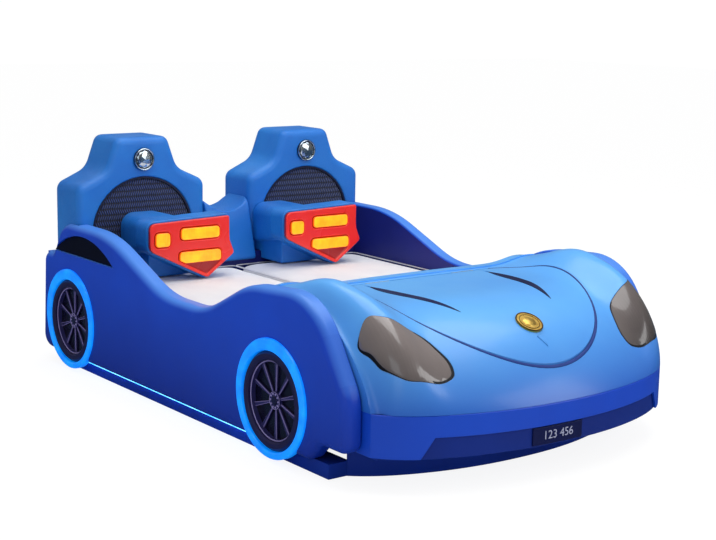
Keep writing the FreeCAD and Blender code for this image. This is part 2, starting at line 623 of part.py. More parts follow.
def bonnet_skin(space):
    """The bonnet's shell with its side walls, before its openings are cut."""
    skin, low = size("skin"), size("bumper_top") + gap
    half = hood_half - skin
    outside = space.common(block(-hood_half, hood_half, nose_y - 1, hood_rear, low, REACH))
    between_walls = block(-half, half, nose_y - 1, foot_y, 0, REACH)
    over_bed = block(-REACH, REACH, foot_y - gap, hood_rear + 1, 0, REACH)
    inside = space.translated(Vector(0, skin, -skin))
    return outside.cut(inside.common(between_walls)).cut(inside.common(over_bed))


def headlamps(space):
    """Bezels, lenses and housings of both headlamps."""
    skin = size("skin")
    share = size("bezel_width") / size("fender_inset")
    inside, seat_top = skin + gap, size("lamp_sink")
    bezels, lenses, housings = [], [], []
    for _, sign in SIDES:
        rim = prism(headlamp_outline(sign, 0.996)).cut(prism(headlamp_outline(sign, 1.003 - share)))
        bezels.append(layer(space, size("bezel_sink"), skin, rim))
        lens = prism(headlamp_outline(sign, 1 - share))
        lenses.append(layer(space, seat_top, seat_top + size("lens_thick"), lens))
        bowl = prism(headlamp_outline(sign, 1 + share), size("bumper_top") + size("lamp_lift"))
        housings.append(layer(space, inside, inside + size("flange_thick"), bowl))
    shaped("headlamp_bezels", Part.makeCompound(bezels))
    shaped("headlamp_lenses", Part.makeCompound(lenses))
    shaped("headlamp_housings", Part.makeCompound(housings))


def badge_frame():
    """The middle of the bonnet badge on the surface, and the surface's normal there."""
    y = nose_y + size("badge_back")
    step = 20
    slope = (hood_height(0, y + step) - hood_height(0, y - step)) / (2 * step)
    return Vector(0, y, hood_height(0, y)), Vector(0, -slope, 1).normalize()


def bonnet_lid(space):
    """The lid with its vents, its raised arrow and the seat of its badge; and the badge itself."""
    middle, normal = badge_frame()
    radius, depth, sink = size("badge_radius"), size("badge_depth"), size("badge_sink")
    badge = Part.makeCylinder(radius, depth, middle - normal * (sink - gap), normal)
    top_edge = [e for e in badge.Edges if e.Closed and (e.CenterOfMass - middle).dot(normal) > 1]
    shaped("bonnet_badge", badge.makeFillet(size("badge_round"), top_edge))
    edge = size("lid_gap")
    tool = prism(lid_outline(-edge, size("lid_front_gap") - edge, size("lid_rear_gap") - edge))
    lid = layer(space, 0, size("skin"), tool)
    for _, sign in SIDES:
        lid = lid.cut(prism(vent_outline(sign)))
    lid = lid.cut(Part.makeCylinder(radius + gap, 5 * depth, middle - normal * sink, normal))
    root = middle.y - size("arrow_gap")
    corners = [(0, root - size("arrow_length")), (size("arrow_half"), root), (-size("arrow_half"), root)]
    arrow = Part.makePolygon([Vector(a, b, 0) for a, b in corners + corners[:1]])
    lid = lid.fuse(layer(space, -size("arrow_height"), size("skin") / 2, prism(arrow)))
    shaped("bonnet_lid", lid.removeSplitter())


def bonnet():
    """The bonnet shell, its lid, the lid's seat, the headlamps, the vents' backs and the cowl strip."""
    space = bonnet_block()
    shell = bonnet_skin(space).cut(prism(lid_outline(0)))
    for _, sign in SIDES:
        shell = shell.cut(prism(headlamp_outline(sign)))
    shaped("bonnet_shell", shell)
    bonnet_lid(space)
    headlamps(space)
    under = size("skin") + gap
    flange = prism(lid_outline(size("lid_flange"))).cut(prism(lid_outline(-size("lid_flange"))))
    seat = layer(space, under, under + size("flange_thick"), flange)
    hinge_side = hood_rear - size("lid_rear") - size("lid_seat_rear")
    shaped("lid_seat", seat.cut(block(-hood_half, hood_half, hinge_side, hood_rear + 100, 0, REACH)))
    vents = [layer(space, under, under + size("vent_back"), prism(vent_outline(sign, size("vent_lap"))))
             for _, sign in SIDES]
    shaped("vent_inserts", Part.makeCompound(vents))
    half = hood_half - size("cowl_inset")
    strip = block(-half, half, hood_rear - size("cowl_width"), hood_rear, size("bonnet_base"), REACH)
    raised = space.translated(Vector(0, 0, size("cowl_thick"))).common(strip)
    shaped("cowl_strip", raised.cut(space.translated(Vector(0, 0, gap))))
    hinges()


def hinges():
    """Two butt hinges in the gap behind the lid: fixed leaves, moving leaves and pins."""
    y = hood_rear - size("lid_rear") - size("lid_rear_gap") / 2
    z = hood_height(0, y) - size("hinge_sink")
    barrel, pin = size("barrel_radius"), size("pin_radius")
    bore = pin + size("pin_clearance")
    under = hood_height(0, y) - size("skin") - size("leaf_drop")
    low = under - size("leaf_thick")
    web = size("lid_rear_gap") / 2 - size("web_gap")
    long, between = size("hinge_length"), size("knuckle_gap")
    third = long / 3
    fixed_spans = ((0, third - between), (2 * third + between, long))
    fixed, moving, pins = [], [], []
    for _, sign in SIDES:
        x = sign * size("hinge_spacing") / 2 - long / 2
        for group, way, spans in ((fixed, 1, fixed_spans), (moving, -1, ((third, 2 * third),))):
            leaf = block(x, x + long, y + way * web, y + way * (web + size("leaf_width")), low, under)
            for start, end in spans:
                leaf = leaf.fuse(rod(barrel, end - start, (x + start, y, z), (1, 0, 0)))
                leaf = leaf.fuse(block(x + start, x + end, y, y + way * (web + 1), low, under))
                leaf = leaf.fuse(block(x + start, x + end, y + way * between, y + way * web, low, z))
            group.append(leaf.cut(rod(bore, long, (x, y, z), (1, 0, 0))).removeSplitter())
        pins.append(rod(pin, long, (x, y, z), (1, 0, 0)))
    shaped("hinge_fixed_leaves", Part.makeCompound(fixed))
    shaped("hinge_lid_leaves", Part.makeCompound(moving))
    shaped("hinge_pins", Part.makeCompound(pins))


# ---------------------------------------------------------------- nose
def bumper():
    """The bumper with its side returns, the recessed valance and the number plate."""
    low, high, wall = size("bumper_bottom"), size("bumper_top"), size("bumper_wall")
    shape = nose_slab(0, wall, hood_half, low, high)
    corner = nose_curve(hood_half)
    for _, sign in SIDES:
        shape = shape.fuse(block(sign * hood_half, sign * (hood_half - wall), corner,
                                 corner + size("bumper_return"), low, high))
    shape = shape.removeSplitter()
    top_edge = [e for e in edges_at(shape, "Z", high)
                if e.BoundBox.YMin < nose_y + 1 and e.BoundBox.XLength > hood_half]
    shape = shape.makeFillet(size("bumper_round"), top_edge)
    half, top, slant = size("valance_half"), size("valance_top"), size("valance_slant")
    corners = [(-half, low - 1), (-half + slant, top), (half - slant, top), (half, low - 1)]
    opening = Part.makePolygon([Vector(a, nose_y - 1, b) for a, b in corners + corners[:1]])
    shaped("front_bumper", shape.cut(slab_along(opening, y=size("nose_sweep") + size("nose_corner"))))
    back = wall + gap
    shaped("front_valance", nose_slab(back, back + size("valance_thick"), half + size("valance_lap"), low,
                                      top + size("valance_lap")))
    plate_low = (low + top - size("plate_height")) / 2
    plate_top = plate_low + size("plate_height")
    plate = nose_slab(wall - size("plate_thick"), wall, hood_half, plate_low, plate_top)
    left = -size("plate_shift") - size("plate_half")
    shaped("number_plate", plate.common(block(left, left + 2 * size("plate_half"), nose_y, 0, 0, REACH)))


def front_floor(low, rear):
    """The board under the bonnet, which carries the tub."""
    half, high = hood_half - size("floor_inset"), low + size("floor_thick")
    nose = nose_slab(size("floor_setback"), size("floor_nose"), half, low, high)
    rest = block(-half, half, nose_curve(half) + size("floor_rest"), rear, low, high)
    within = block(-half, half, nose_y, rear, 0, REACH)
    shaped("front_floor", nose.fuse(rest).common(within).removeSplitter())


def toy_tub(low, rear):
    """The open tub under the bonnet lid."""
    wall, top, half, deep = size("tub_wall"), size("tub_top"), size("tub_half"), size("tub_length")
    tub = block(-half, half, rear - deep, rear, low, top)
    upright = [e for e in tub.Edges if abs(e.BoundBox.ZLength - (top - low)) < 0.01]
    tub = tub.makeFillet(size("tub_round"), upright)
    hollow = block(-half + wall, half - wall, rear - deep + wall, rear - wall, low + wall, top + 1)
    upright = [e for e in hollow.Edges if e.BoundBox.ZLength > top - low - wall]
    shaped("toy_tub", tub.cut(hollow.makeFillet(size("tub_round") - wall, upright)))


def front_end():
    """Bumper, valance, plate, front floor and the toy tub."""
    bumper()
    rear = foot_y - size("board_thick")
    low = size("plinth_front_height")
    front_floor(low, rear - gap)
    toy_tub(low + size("floor_thick"), rear - size("tub_setback"))


# ---------------------------------------------------------------- head end
def seat_outline(y, inset=0.0):
    """The left seat back's front view: straight sides, sloping shoulders and a narrower head."""
    right = [(size("seat_half"), seat_low, 5), (size("seat_half"), size("seat_shoulder"), 48),
             (size("seat_neck_half"), size("seat_neck"), 95), (size("seat_top_half"), size("seat_top"), 42)]
    corners = [(-seat_centre + a, b, r) for a, b, r in right]
    corners += [(-seat_centre - a, b, r) for a, b, r in reversed(right)]
    wire = rounded([(a, b) for a, b, _ in corners], [r for _, _, r in corners], in_xz(y))
    return inset_wire(wire, inset)


def mesh_outline(y, inset):
    """The arched mesh panel in the left seat back."""
    half, low = size("mesh_half") - inset, size("mesh_bottom") + inset
    spring, rise = size("mesh_spring"), size("mesh_top") - inset - size("mesh_spring")
    turns = [math.pi * k / 12 for k in range(13)]
    arch = [Vector(-seat_centre + half * math.cos(a), y, spring + rise * math.sin(a)) for a in turns]
    left, right = Vector(-seat_centre - half, y, low), Vector(-seat_centre + half, y, low)
    runs = [(arch[-1], left), (left, right), (right, arch[0])]
    return Part.Wire([smooth_line(arch)] + [Part.LineSegment(a, b).toShape() for a, b in runs])


def seats():
    """The two seat backs with mesh panels, piping and badges."""
    front, deep, wall, sink = seat_front, size("seat_depth"), size("seat_wall"), size("mesh_sink")
    solid = slab_along(seat_outline(front), y=deep)
    soft = [e for y in (front, front + deep) for e in edges_at(solid, "Y", y)
            if e.BoundBox.ZMax > seat_low + 6]
    solid = solid.makeFillet(size("seat_round"), soft)
    hollow = slab_along(seat_outline(front + wall, wall), y=deep - 2 * wall)
    pocket = slab_along(mesh_outline(front, 0), y=sink)
    backing = slab_along(mesh_outline(front, -wall), y=sink + wall)
    badge_at = Vector(-seat_centre, front + size("badge_sink"), size("seat_badge_height"))
    radius = size("seat_badge_radius")
    badge_seat = rod(radius + gap, 2 * size("badge_sink"), badge_at, (0, -1, 0))
    both_sides("seat_back", solid.cut(hollow.cut(backing)).cut(pocket).cut(badge_seat))
    deep_trim = sink - size("piping_sink")
    start = front + size("piping_sink") - gap
    ring = slab_along(mesh_outline(start, gap), y=deep_trim)
    pair("seat_mesh_trims", ring.cut(slab_along(mesh_outline(start, size("piping")), y=deep_trim)))
    start = front + sink - size("mesh_thick") - gap
    pair("seat_meshes", slab_along(mesh_outline(start, size("piping") + gap), y=size("mesh_thick")))
    badge = rod(radius, size("seat_badge_depth"), badge_at - Vector(0, gap, 0), (0, -1, 0))
    face = edges_at(badge, "Y", badge_at.y - gap - size("seat_badge_depth"))
    pair("seat_badges", badge.makeChamfer(size("seat_badge_bevel"), face))


def seat_link():
    """The saddle between the seats, which reaches over the shelf's front edge."""
    half = seat_centre - size("seat_half") - size("link_gap")
    top, bottom = size("link_top"), mattress_top + size("mattress_clearance")
    edge = head_y - gap
    corners = [(edge, seat_low, gap), (edge, bottom, 2), (edge - size("link_toe"), bottom, 12),
               (seat_front + size("link_front"), top, 60), (seat_rear - size("link_back"), top, 40),
               (seat_rear - size("link_foot"), seat_low, 2)]
    wire = rounded([(a, b) for a, b, _ in corners], [r for _, _, r in corners], in_yz(-half))
    drop = top - size("link_valley")
    radius = (half ** 2 + drop ** 2) / (2 * drop)
    valley = rod(radius, REACH, (0, foot_y, size("link_valley") + radius), (0, 1, 0))
    shaped("seat_link", slab_along(wire, x=2 * half).cut(valley))


def tail():
    """The boot deck behind the seats and the moulded tail with its power inlet."""
    half = f"({CABIN} + Sizes.seat_rebate - Sizes.seat_clearance)"
    front = f"({SEAT_REAR} + Sizes.boot_gap)"
    board("boot_deck", f"2 * {half}", f"{TAIL} - Sizes.tail_thick - Sizes.fit_gap - {front}",
          "Sizes.boot_thick", f"-{half}", front, "Sizes.shelf_height + Sizes.boot_rise - Sizes.boot_thick")
    low, high = size("panel_lift"), boot_level + size("tail_rise")
    inner, back, wall = cabin_half - size("skin_gap"), tail_y - size("tail_inset"), size("tail_wall")
    blank = block(-inner, inner, tail_front, back, low, high)
    blank = blank.makeFillet(size("tail_round"), edges_at(blank, "Y", back))
    hollow = block(-inner + wall, inner - wall, tail_front - 1, back - wall, low + wall, high - wall)
    x, z, side = size("inlet_x"), size("inlet_height"), size("inlet_size") / 2
    clear = side + gap
    hole = block(x - clear, x + clear, tail_front - 1, back + 1, z - clear, z + clear)
    shaped("tail_panel", blank.cut(hollow).cut(hole))
    body = block(x - side, x + side, back - size("inlet_length"), back, z - side, z + side)
    shaped("power_inlet", body.cut(rod(size("inlet_radius"), size("inlet_depth"), (x, back, z), (0, -1, 0))))


# ---------------------------------------------------------------- lamp consoles
def console_outline(y, centre, inset=0.0):
    """The lamp housing's front view: flat top, notched right side and a pointed bottom."""
    left, right = -size("console_left"), size("console_right")
    corners = [(left, size("console_left_low"), 44), (left, size("console_left_top"), 38),
               (right, size("console_right_top"), 16), (right + size("notch_out"), size("notch_height"), 16),
               (right + size("tip_out"), size("tip_height"), 24), (size("apex_x"), size("apex_height"), 30)]
    wire = rounded([(centre + a, b) for a, b, _ in corners], [r for _, _, r in corners], in_xz(y))
    return inset_wire(wire, inset)


def console_block(centre, inset):
    """The padded block from the left part of a lamp housing to the seat, as a loft with a domed top."""
    front, rear = size("console_line") + 20 + inset, seat_front - gap - inset
    left, right = centre - size("block_front_left"), centre + size("block_front_right")
    low, top = size("block_front_low"), size("console_left_top")
    first = [(left, low, 40), (left, top, 36), (right, top, 44), (right, low, 36)]
    left, right = centre - size("block_left"), centre + size("block_right")
    low, top = size("block_low"), size("block_top")
    last = [(left, low, 20), (left, top, 66), (right, top, 74), (right, low, 20)]
    wires = []
    for y, corners in ((front, first), (rear, last)):
        wire = rounded([(a, b) for a, b, _ in corners], [r for _, _, r in corners], in_xz(y))
        wires.append(inset_wire(wire, inset))
    return Part.makeLoft(wires, True, True)


def lens_spots(centre):
    """The three lenses of a fascia as (x, z, width, height): their lower left corner and size."""
    tall = size("bar_height")
    bars = [("upper_bar", size("upper_bar_length")), ("lower_bar", size("lower_bar_length"))]
    spots = [(centre + size(name + "_x"), size(name + "_z") - tall / 2, long, tall) for name, long in bars]
    square = (size("square_x"), size("square_z"), size("square_width"), size("square_height"))
    return spots + [(centre + square[0], square[1] - square[3] / 2, square[2], square[3])]


def lens_bar(spot, y, deep, grow):
    """A bar with rounded ends, grown all round, between y and y + deep."""
    x, z, wide, tall = spot
    bar = block(x - grow, x + wide + grow, y, y + deep, z - grow, z + tall + grow)
    return bar.makeFillet(size("bar_round") + grow, [e for e in bar.Edges if e.BoundBox.YLength > 1])


def console(side, centre):
    """One console with its padded body and its red fascia; returns its lenses."""
    front, rear = size("console_line"), seat_front - gap
    wall, deep = size("console_wall"), size("console_depth")
    body = slab_along(console_outline(front, centre), y=deep).fuse(console_block(centre, 0))
    left, right, top = centre - size("heel_left"), centre + size("heel_right"), size("heel_top")
    low, edge = mattress_top + size("mattress_clearance"), head_y - gap
    heel = block(left, right, front + deep, edge, low, top).fuse(block(left, right, edge, rear, seat_low, top))
    body = body.fuse(heel).removeSplitter()
    box = slab_along(console_outline(front - 1, centre, wall), y=deep - wall + 1)
    inside = block(-REACH, REACH, front + deep + wall, rear, 0, REACH)
    body = body.cut(box).cut(console_block(centre, wall).common(inside))
    shaped(f"lamp_console_{side}", body)
    thick, border, rim = size("fascia_thick"), size("lamp_border"), size("fascia_rim")
    face = front - thick - gap
    plate = slab_along(console_outline(face, centre, border), y=thick)
    room = slab_along(console_outline(face - 1, centre, border + rim), y=thick)
    pocket, margin, proud = size("fascia_pocket"), size("pocket_margin"), size("lens_proud")
    spots = lens_spots(centre)
    lower = spots[1]
    tip = block(lower[0], lower[0] + lower[2], face - 1, face + pocket, 0, lower[1])
    for tool in [lens_bar(spot, face - 1, pocket + 1, margin) for spot in spots] + [tip]:
        plate = plate.cut(tool.common(room))
    shaped(f"lamp_fascia_{side}", plate)
    inner = slab_along(console_outline(face - REACH, centre, border + rim + margin / 2), y=2 * REACH)
    floor = face + pocket - gap
    return [lens_bar(spot, face - proud, floor - face + proud, 0).common(inner) for spot in spots]


def consoles():
    """Both consoles, which point the same way, and their amber lenses."""
    lenses = console("left", size("console_left_shift") - seat_centre)
    lenses += console("right", size("console_right_shift") + seat_centre)
    shaped("lamp_lenses", Part.makeCompound(lenses))


# ---------------------------------------------------------------- mattresses and small parts
def mattress_ring(x0, y0, z, inset):
    """A mattress's plan outline at a height: rounded corners and sides that bow out between them."""
    wide, long, draw = size("mattress_width"), size("mattress_length"), size("mattress_draw")
    corner = size("mattress_corner")
    left, right = x0 + inset + draw, x0 + wide - inset - draw
    low, high = y0 + inset + draw, y0 + long - inset - draw
    radius = min(corner, (right - left) / 3)
    turn = radius * (1 - math.sqrt(0.5))
    mx, my = (left + right) / 2, (low + high) / 2
    sides = [((left, low + radius), (left - draw, my), (left, high - radius)),
             ((left + turn, high - turn),),
             ((left + radius, high), (mx, high + draw), (right - radius, high)),
             ((right - turn, high - turn),),
             ((right, high - radius), (right + draw, my), (right, low + radius)),
             ((right - turn, low + turn),),
             ((right - radius, low), (mx, low - draw), (left + radius, low)),
             ((left + turn, low + turn),)]
    edges = []
    for i, points in enumerate(sides):
        if len(points) == 1:
            after = sides[(i + 1) % len(sides)][0]
            points = (sides[i - 1][-1], points[0], after)
        edges.append(Part.Arc(*[Vector(a, b, z) for a, b in points]).toShape())
    return Part.Wire(edges)


def mattresses():
    """Two children's mattresses side by side, crowned and drawn in at the edges."""
    deep, crown = size("mattress_depth"), size("mattress_crown")
    wide = size("mattress_width")
    shoulder = deep - crown
    levels = [(0, 16), (0.08, 5), (0.22, 0.5), (0.5, 0), (0.78, 0.5), (0.92, 5), (1, 16)]
    steps = [(share * shoulder, inset) for share, inset in levels]
    steps += [(shoulder + crown * rise, wide * share) for rise, share in ((0.45, 0.1), (0.8, 0.22), (1, 0.4))]
    y0 = foot_y + size("end_clearance")
    for side, sign in SIDES:
        x0 = size("mattress_gap") / 2 if sign > 0 else -size("mattress_gap") / 2 - wide
        rings = [mattress_ring(x0, y0, size("deck_height") + up, inset) for up, inset in steps]
        shaped(f"mattress_{side}", Part.makeLoft(rings, True, True))


def switch():
    """The round push button for the lights and its collar in the left liner."""
    y, z, face = head_y - size("button_back"), size("button_height"), -cabin_half
    lip = size("collar_lip")
    collar = rod(size("collar_radius"), size("collar_length"), (face, y, z), (-1, 0, 0))
    collar = collar.fuse(rod(size("collar_lip_radius"), lip, (face, y, z), (1, 0, 0)))
    deep = size("button_length") + size("button_travel") + lip + 1
    bore = rod(size("button_radius") + size("button_clearance"), deep, (face + lip + 1, y, z), (-1, 0, 0))
    shaped("switch_collar", collar.cut(bore).removeSplitter())
    tip = face + lip + size("button_proud")
    button = rod(size("button_radius"), size("button_length"), (tip, y, z), (-1, 0, 0))
    shaped("light_button", button.makeFillet(size("button_round"), edges_at(button, "X", tip)))


bed_frame()
cross_boards()
plinth()
side_panels()
wheels()
bonnet()
front_end()
seats()
seat_link()
tail()
consoles()
mattresses()
switch()

doc.recompute()
faults = [o.Label for o in doc.Objects if "Invalid" in o.State or "Error" in o.State]
faults += [o.Label for o in made if o.Shape.isNull() or not o.Shape.isValid() or o.Shape.Volume <= 0]
if faults:
    raise SystemExit("these objects failed: " + ", ".join(faults))
for obj in made:
    obj.Shape.exportStep(os.path.join(OUT, obj.Label + ".step"))
print(len(made), "sub-parts written")
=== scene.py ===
"""Looks of the children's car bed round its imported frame: finishes, soft parts, trim and a plain studio."""
import logging
import math
from contextlib import contextmanager
from dataclasses import dataclass
from enum import Enum
from typing import Callable, Iterable, Iterator, Sequence

import bmesh
import bpy
from mathutils import Matrix, Vector


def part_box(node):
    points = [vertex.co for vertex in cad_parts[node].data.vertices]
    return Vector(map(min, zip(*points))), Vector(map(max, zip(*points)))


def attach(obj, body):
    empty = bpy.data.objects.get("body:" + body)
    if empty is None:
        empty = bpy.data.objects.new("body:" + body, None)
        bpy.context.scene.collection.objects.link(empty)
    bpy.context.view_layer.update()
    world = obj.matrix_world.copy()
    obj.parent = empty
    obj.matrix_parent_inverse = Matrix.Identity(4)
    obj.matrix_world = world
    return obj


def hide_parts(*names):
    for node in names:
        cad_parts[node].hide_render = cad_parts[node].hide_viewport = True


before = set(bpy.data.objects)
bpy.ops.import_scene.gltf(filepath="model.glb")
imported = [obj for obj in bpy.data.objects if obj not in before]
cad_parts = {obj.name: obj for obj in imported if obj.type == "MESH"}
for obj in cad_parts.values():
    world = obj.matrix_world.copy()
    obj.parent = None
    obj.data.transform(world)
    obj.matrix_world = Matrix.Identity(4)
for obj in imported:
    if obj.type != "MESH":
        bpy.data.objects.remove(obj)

LOG = logging.getLogger("car_bed")
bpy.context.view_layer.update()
Colour = tuple[float, float, float]
Piece = bpy.types.Object
Socket = bpy.types.NodeSocket
Tree = bpy.types.NodeTree


def tint(red: int, green: int, blue: int) -> Colour:
    """Turns a colour as a screen shows it, 0 to 255, into the linear values that shaders take.

    Args:
        red: the red share.
        green: the green share.
        blue: the blue share.

    Returns:
        The three linear values.
    """
    shares = [value / 255 for value in (red, green, blue)]
    linear = [s / 12.92 if s <= 0.04045 else ((s + 0.055) / 1.055) ** 2.4 for s in shares]
    return linear[0], linear[1], linear[2]


class Side(Enum):
    """The two sides of the bed, seen from its nose."""

    LEFT = -1
    RIGHT = 1

    @property
    def word(self) -> str:
        """The side's name as the nodes have it."""
        return self.name.lower()


class Body(Enum):
    """The bodies that pieces ride on."""

    BED = "bed"
    LID = "lid"


# ---------------------------------------------------------------- shader groups that several finishes share
class Wiring:
    """Short ways to add and join the nodes of one tree."""

    def __init__(self, tree: Tree) -> None:
        """Takes the tree that the nodes go into."""
        self.tree = tree

    def add(self, kind: str, values: dict[str | int, object] | None = None,
            **settings: object) -> bpy.types.Node:
        """Adds a node.

        Args:
            kind: the node's type.
            values: input sockets and what they hold or are joined to.
            settings: properties of the node.

        Returns:
            The node.
        """
        node = self.tree.nodes.new(kind)
        for name, value in settings.items():
            setattr(node, name, value)
        for key, value in (values or {}).items():
            self.put(node.inputs[key], value)
        return node

    def put(self, socket: Socket, value: object) -> None:
        """Joins a socket to another, or sets its value."""
        if isinstance(value, bpy.types.NodeSocket):
            self.tree.links.new(value, socket)
        else:
            socket.default_value = value

    def math(self, operation: str, first: object, second: object = 0.0, third: object = 0.0) -> Socket:
        """Adds a Math node and returns its result."""
        node = self.add("ShaderNodeMath", {0: first, 1: second, 2: third}, operation=operation)
        return node.outputs[0]

    def span(self, value: Socket, low: float, high: float, out_low: float = 0.0,
             out_high: float = 1.0) -> Socket:
        """Maps a value from one range to another, clamped."""
        node = self.add("ShaderNodeMapRange", {"Value": value, "From Min": low, "From Max": high,
                                               "To Min": out_low, "To Max": out_high})
        return node.outputs["Result"]

    def blend(self, share: object, first: object, second: object) -> Socket:
        """Mixes two colours."""
        node = self.add("ShaderNodeMix", data_type="RGBA")
        for key, value in (("Factor", share), ("A", first), ("B", second)):
            socket = next(s for s in node.inputs if s.name == key and s.enabled)
            if key != "Factor" and isinstance(value, tuple):
                value = (*value, 1.0)
            self.put(socket, value)
        return next(s for s in node.outputs if s.enabled)

    def mottle(self, scale: float, detail: float, first: object, second: object) -> Socket:
        """Two colours in soft, cloudy patches."""
        return self.blend(self.span(self.noise(self.place(), scale, detail), 0.35, 0.7), first, second)

    def place(self) -> Socket:
        """The object's own coordinates, in metres."""
        return self.add("ShaderNodeTexCoord").outputs["Object"]

    def noise(self, place: Socket, scale: float, detail: float = 3.0, rough: float = 0.55) -> Socket:
        """A noise value over the surface."""
        values = {"Vector": place, "Scale": scale, "Detail": detail, "Roughness": rough}
        return self.add("ShaderNodeTexNoise", values).outputs["Fac"]

    def stretch(self, place: Socket, scale: Sequence[float]) -> Socket:
        """The coordinates scaled along each axis."""
        return self.add("ShaderNodeMapping", {"Vector": place, "Scale": scale}).outputs["Vector"]

    def axis(self, vector: Socket, letter: str) -> Socket:
        """One share of a vector, X, Y or Z."""
        return self.add("ShaderNodeSeparateXYZ", {"Vector": vector}).outputs[letter]

    def facing(self, letter: str) -> Socket:
        """How far the surface faces along an axis, from -1 to 1."""
        return self.axis(self.add("ShaderNodeNewGeometry").outputs["Normal"], letter)


def new_group(name: str, given: str, usual: float, *results: str) -> tuple[Wiring, Socket, object]:
    """Makes a shader group that takes one number and gives others.

    Args:
        name: the group's name.
        given: the name of the number that goes in.
        usual: that number's usual value.
        results: the names of the numbers that come out.

    Returns:
        The wiring of its tree, the socket of the given number, and the sockets that take the results.
    """
    tree = bpy.data.node_groups.new(name, "ShaderNodeTree")
    tree.interface.new_socket(given, in_out="INPUT", socket_type="NodeSocketFloat").default_value = usual
    for result in results:
        tree.interface.new_socket(result, in_out="OUTPUT", socket_type="NodeSocketFloat")
    w = Wiring(tree)
    return w, w.add("NodeGroupInput").outputs[given], w.add("NodeGroupOutput").inputs


def moulding_grain() -> Tree:
    """The fine, pebbled skin of a moulded part: a height, and a spread for its roughness."""
    w, scale, results = new_group("moulding_grain", "Scale", 900.0, "Height", "Spread")
    place = w.place()
    cells = w.add("ShaderNodeTexVoronoi", {"Vector": place, "Scale": scale}, feature="SMOOTH_F1")
    pits = w.noise(place, 240, 2.0)
    w.put(results["Height"], w.math("MULTIPLY_ADD", cells.outputs["Distance"], 0.6, pits))
    w.put(results["Spread"], w.span(w.noise(place, 3.2, 2.0), 0.3, 0.7, -1.0, 1.0))
    return w.tree


def light_scuffs() -> Tree:
    """Thin rubbed marks, more of them near the floor, as a mask."""
    w, amount, results = new_group("light_scuffs", "Amount", 0.5, "Mask")
    place = w.place()
    drawn = w.noise(w.stretch(place, (9, 60, 22)), 4.0, 5.0, 0.7)
    patch = w.span(w.noise(place, 5.5, 3.0), 0.52, 0.72)
    lines = w.span(drawn, 0.62, 0.7)
    low = w.span(w.axis(place, "Z"), 0.05, 0.55, 1.0, 0.25)
    mask = w.math("MULTIPLY", w.math("MULTIPLY", lines, patch), low)
    w.put(results["Mask"], w.math("MULTIPLY", mask, amount))
    return w.tree


def settled_dust() -> Tree:
    """A faint bloom on faces that look up, as a mask."""
    w, amount, results = new_group("settled_dust", "Amount", 0.5, "Mask")
    up = w.span(w.facing("Z"), 0.4, 1.0)
    cloud = w.span(w.noise(w.place(), 7.0, 6.0, 0.65), 0.35, 0.8)
    w.put(results["Mask"], w.math("MULTIPLY", w.math("MULTIPLY", up, cloud), amount))
    return w.tree


def shared(build: Callable[[], Tree]) -> Tree:
    """The group that a builder makes, made once."""
    return bpy.data.node_groups.get(build.__name__) or build()


class Paint(Wiring):
    """One material's nodes round a Principled shader."""

    def __init__(self, name: str) -> None:
        """Starts a material with its shader."""
        self.material = bpy.data.materials.new(name)
        self.material.use_nodes = True
        super().__init__(self.material.node_tree)
        self.shader = self.tree.nodes["Principled BSDF"]

    def set(self, **values: object) -> None:
        """Sets or joins the shader's sockets, named with underscores for spaces."""
        for name, value in values.items():
            if isinstance(value, tuple) and len(value) == 3:
                value = (*value, 1.0)
            self.put(self.shader.inputs[name.replace("_", " ")], value)

    def use(self, build: Callable[[], Tree], **values: object) -> bpy.types.Node:
        """Adds a shared group with its own values."""
        node = self.add("ShaderNodeGroup", node_tree=shared(build))
        for name, value in values.items():
            self.put(node.inputs[name], value)
        return node

    def relief(self, height: Socket, depth: float, edge: float = 0.0) -> None:
        """Gives the surface a fine relief, and rounds its edges for the light.

        Args:
            height: the relief's height, from 0 to 1.
            depth: how deep it is, in metres.
            edge: the radius that sharp edges look rounded to, in metres.
        """
        bump = self.add("ShaderNodeBump", {"Height": height, "Distance": depth, "Strength": 1.0})
        if edge:
            rounded = self.add("ShaderNodeBevel", {"Radius": edge}, samples=4)
            self.put(bump.inputs["Normal"], rounded.outputs["Normal"])
        self.put(self.shader.inputs["Normal"], bump.outputs["Normal"])


# ---------------------------------------------------------------- finishes
DUST = tint(196, 204, 216)
LINT = tint(200, 206, 214)


@dataclass(frozen=True)
class Finish:
    """A finish, known by the name of its material."""

    name: str

    def material(self) -> bpy.types.Material:
        """The finish's material, made once."""
        ready = bpy.data.materials.get(self.name)
        if ready:
            return ready
        p = Paint(self.name)
        self.wire(p)
        return p.material

    def wire(self, p: Paint) -> None:
        """Adds the nodes of one kind of finish to its material."""
        raise NotImplementedError


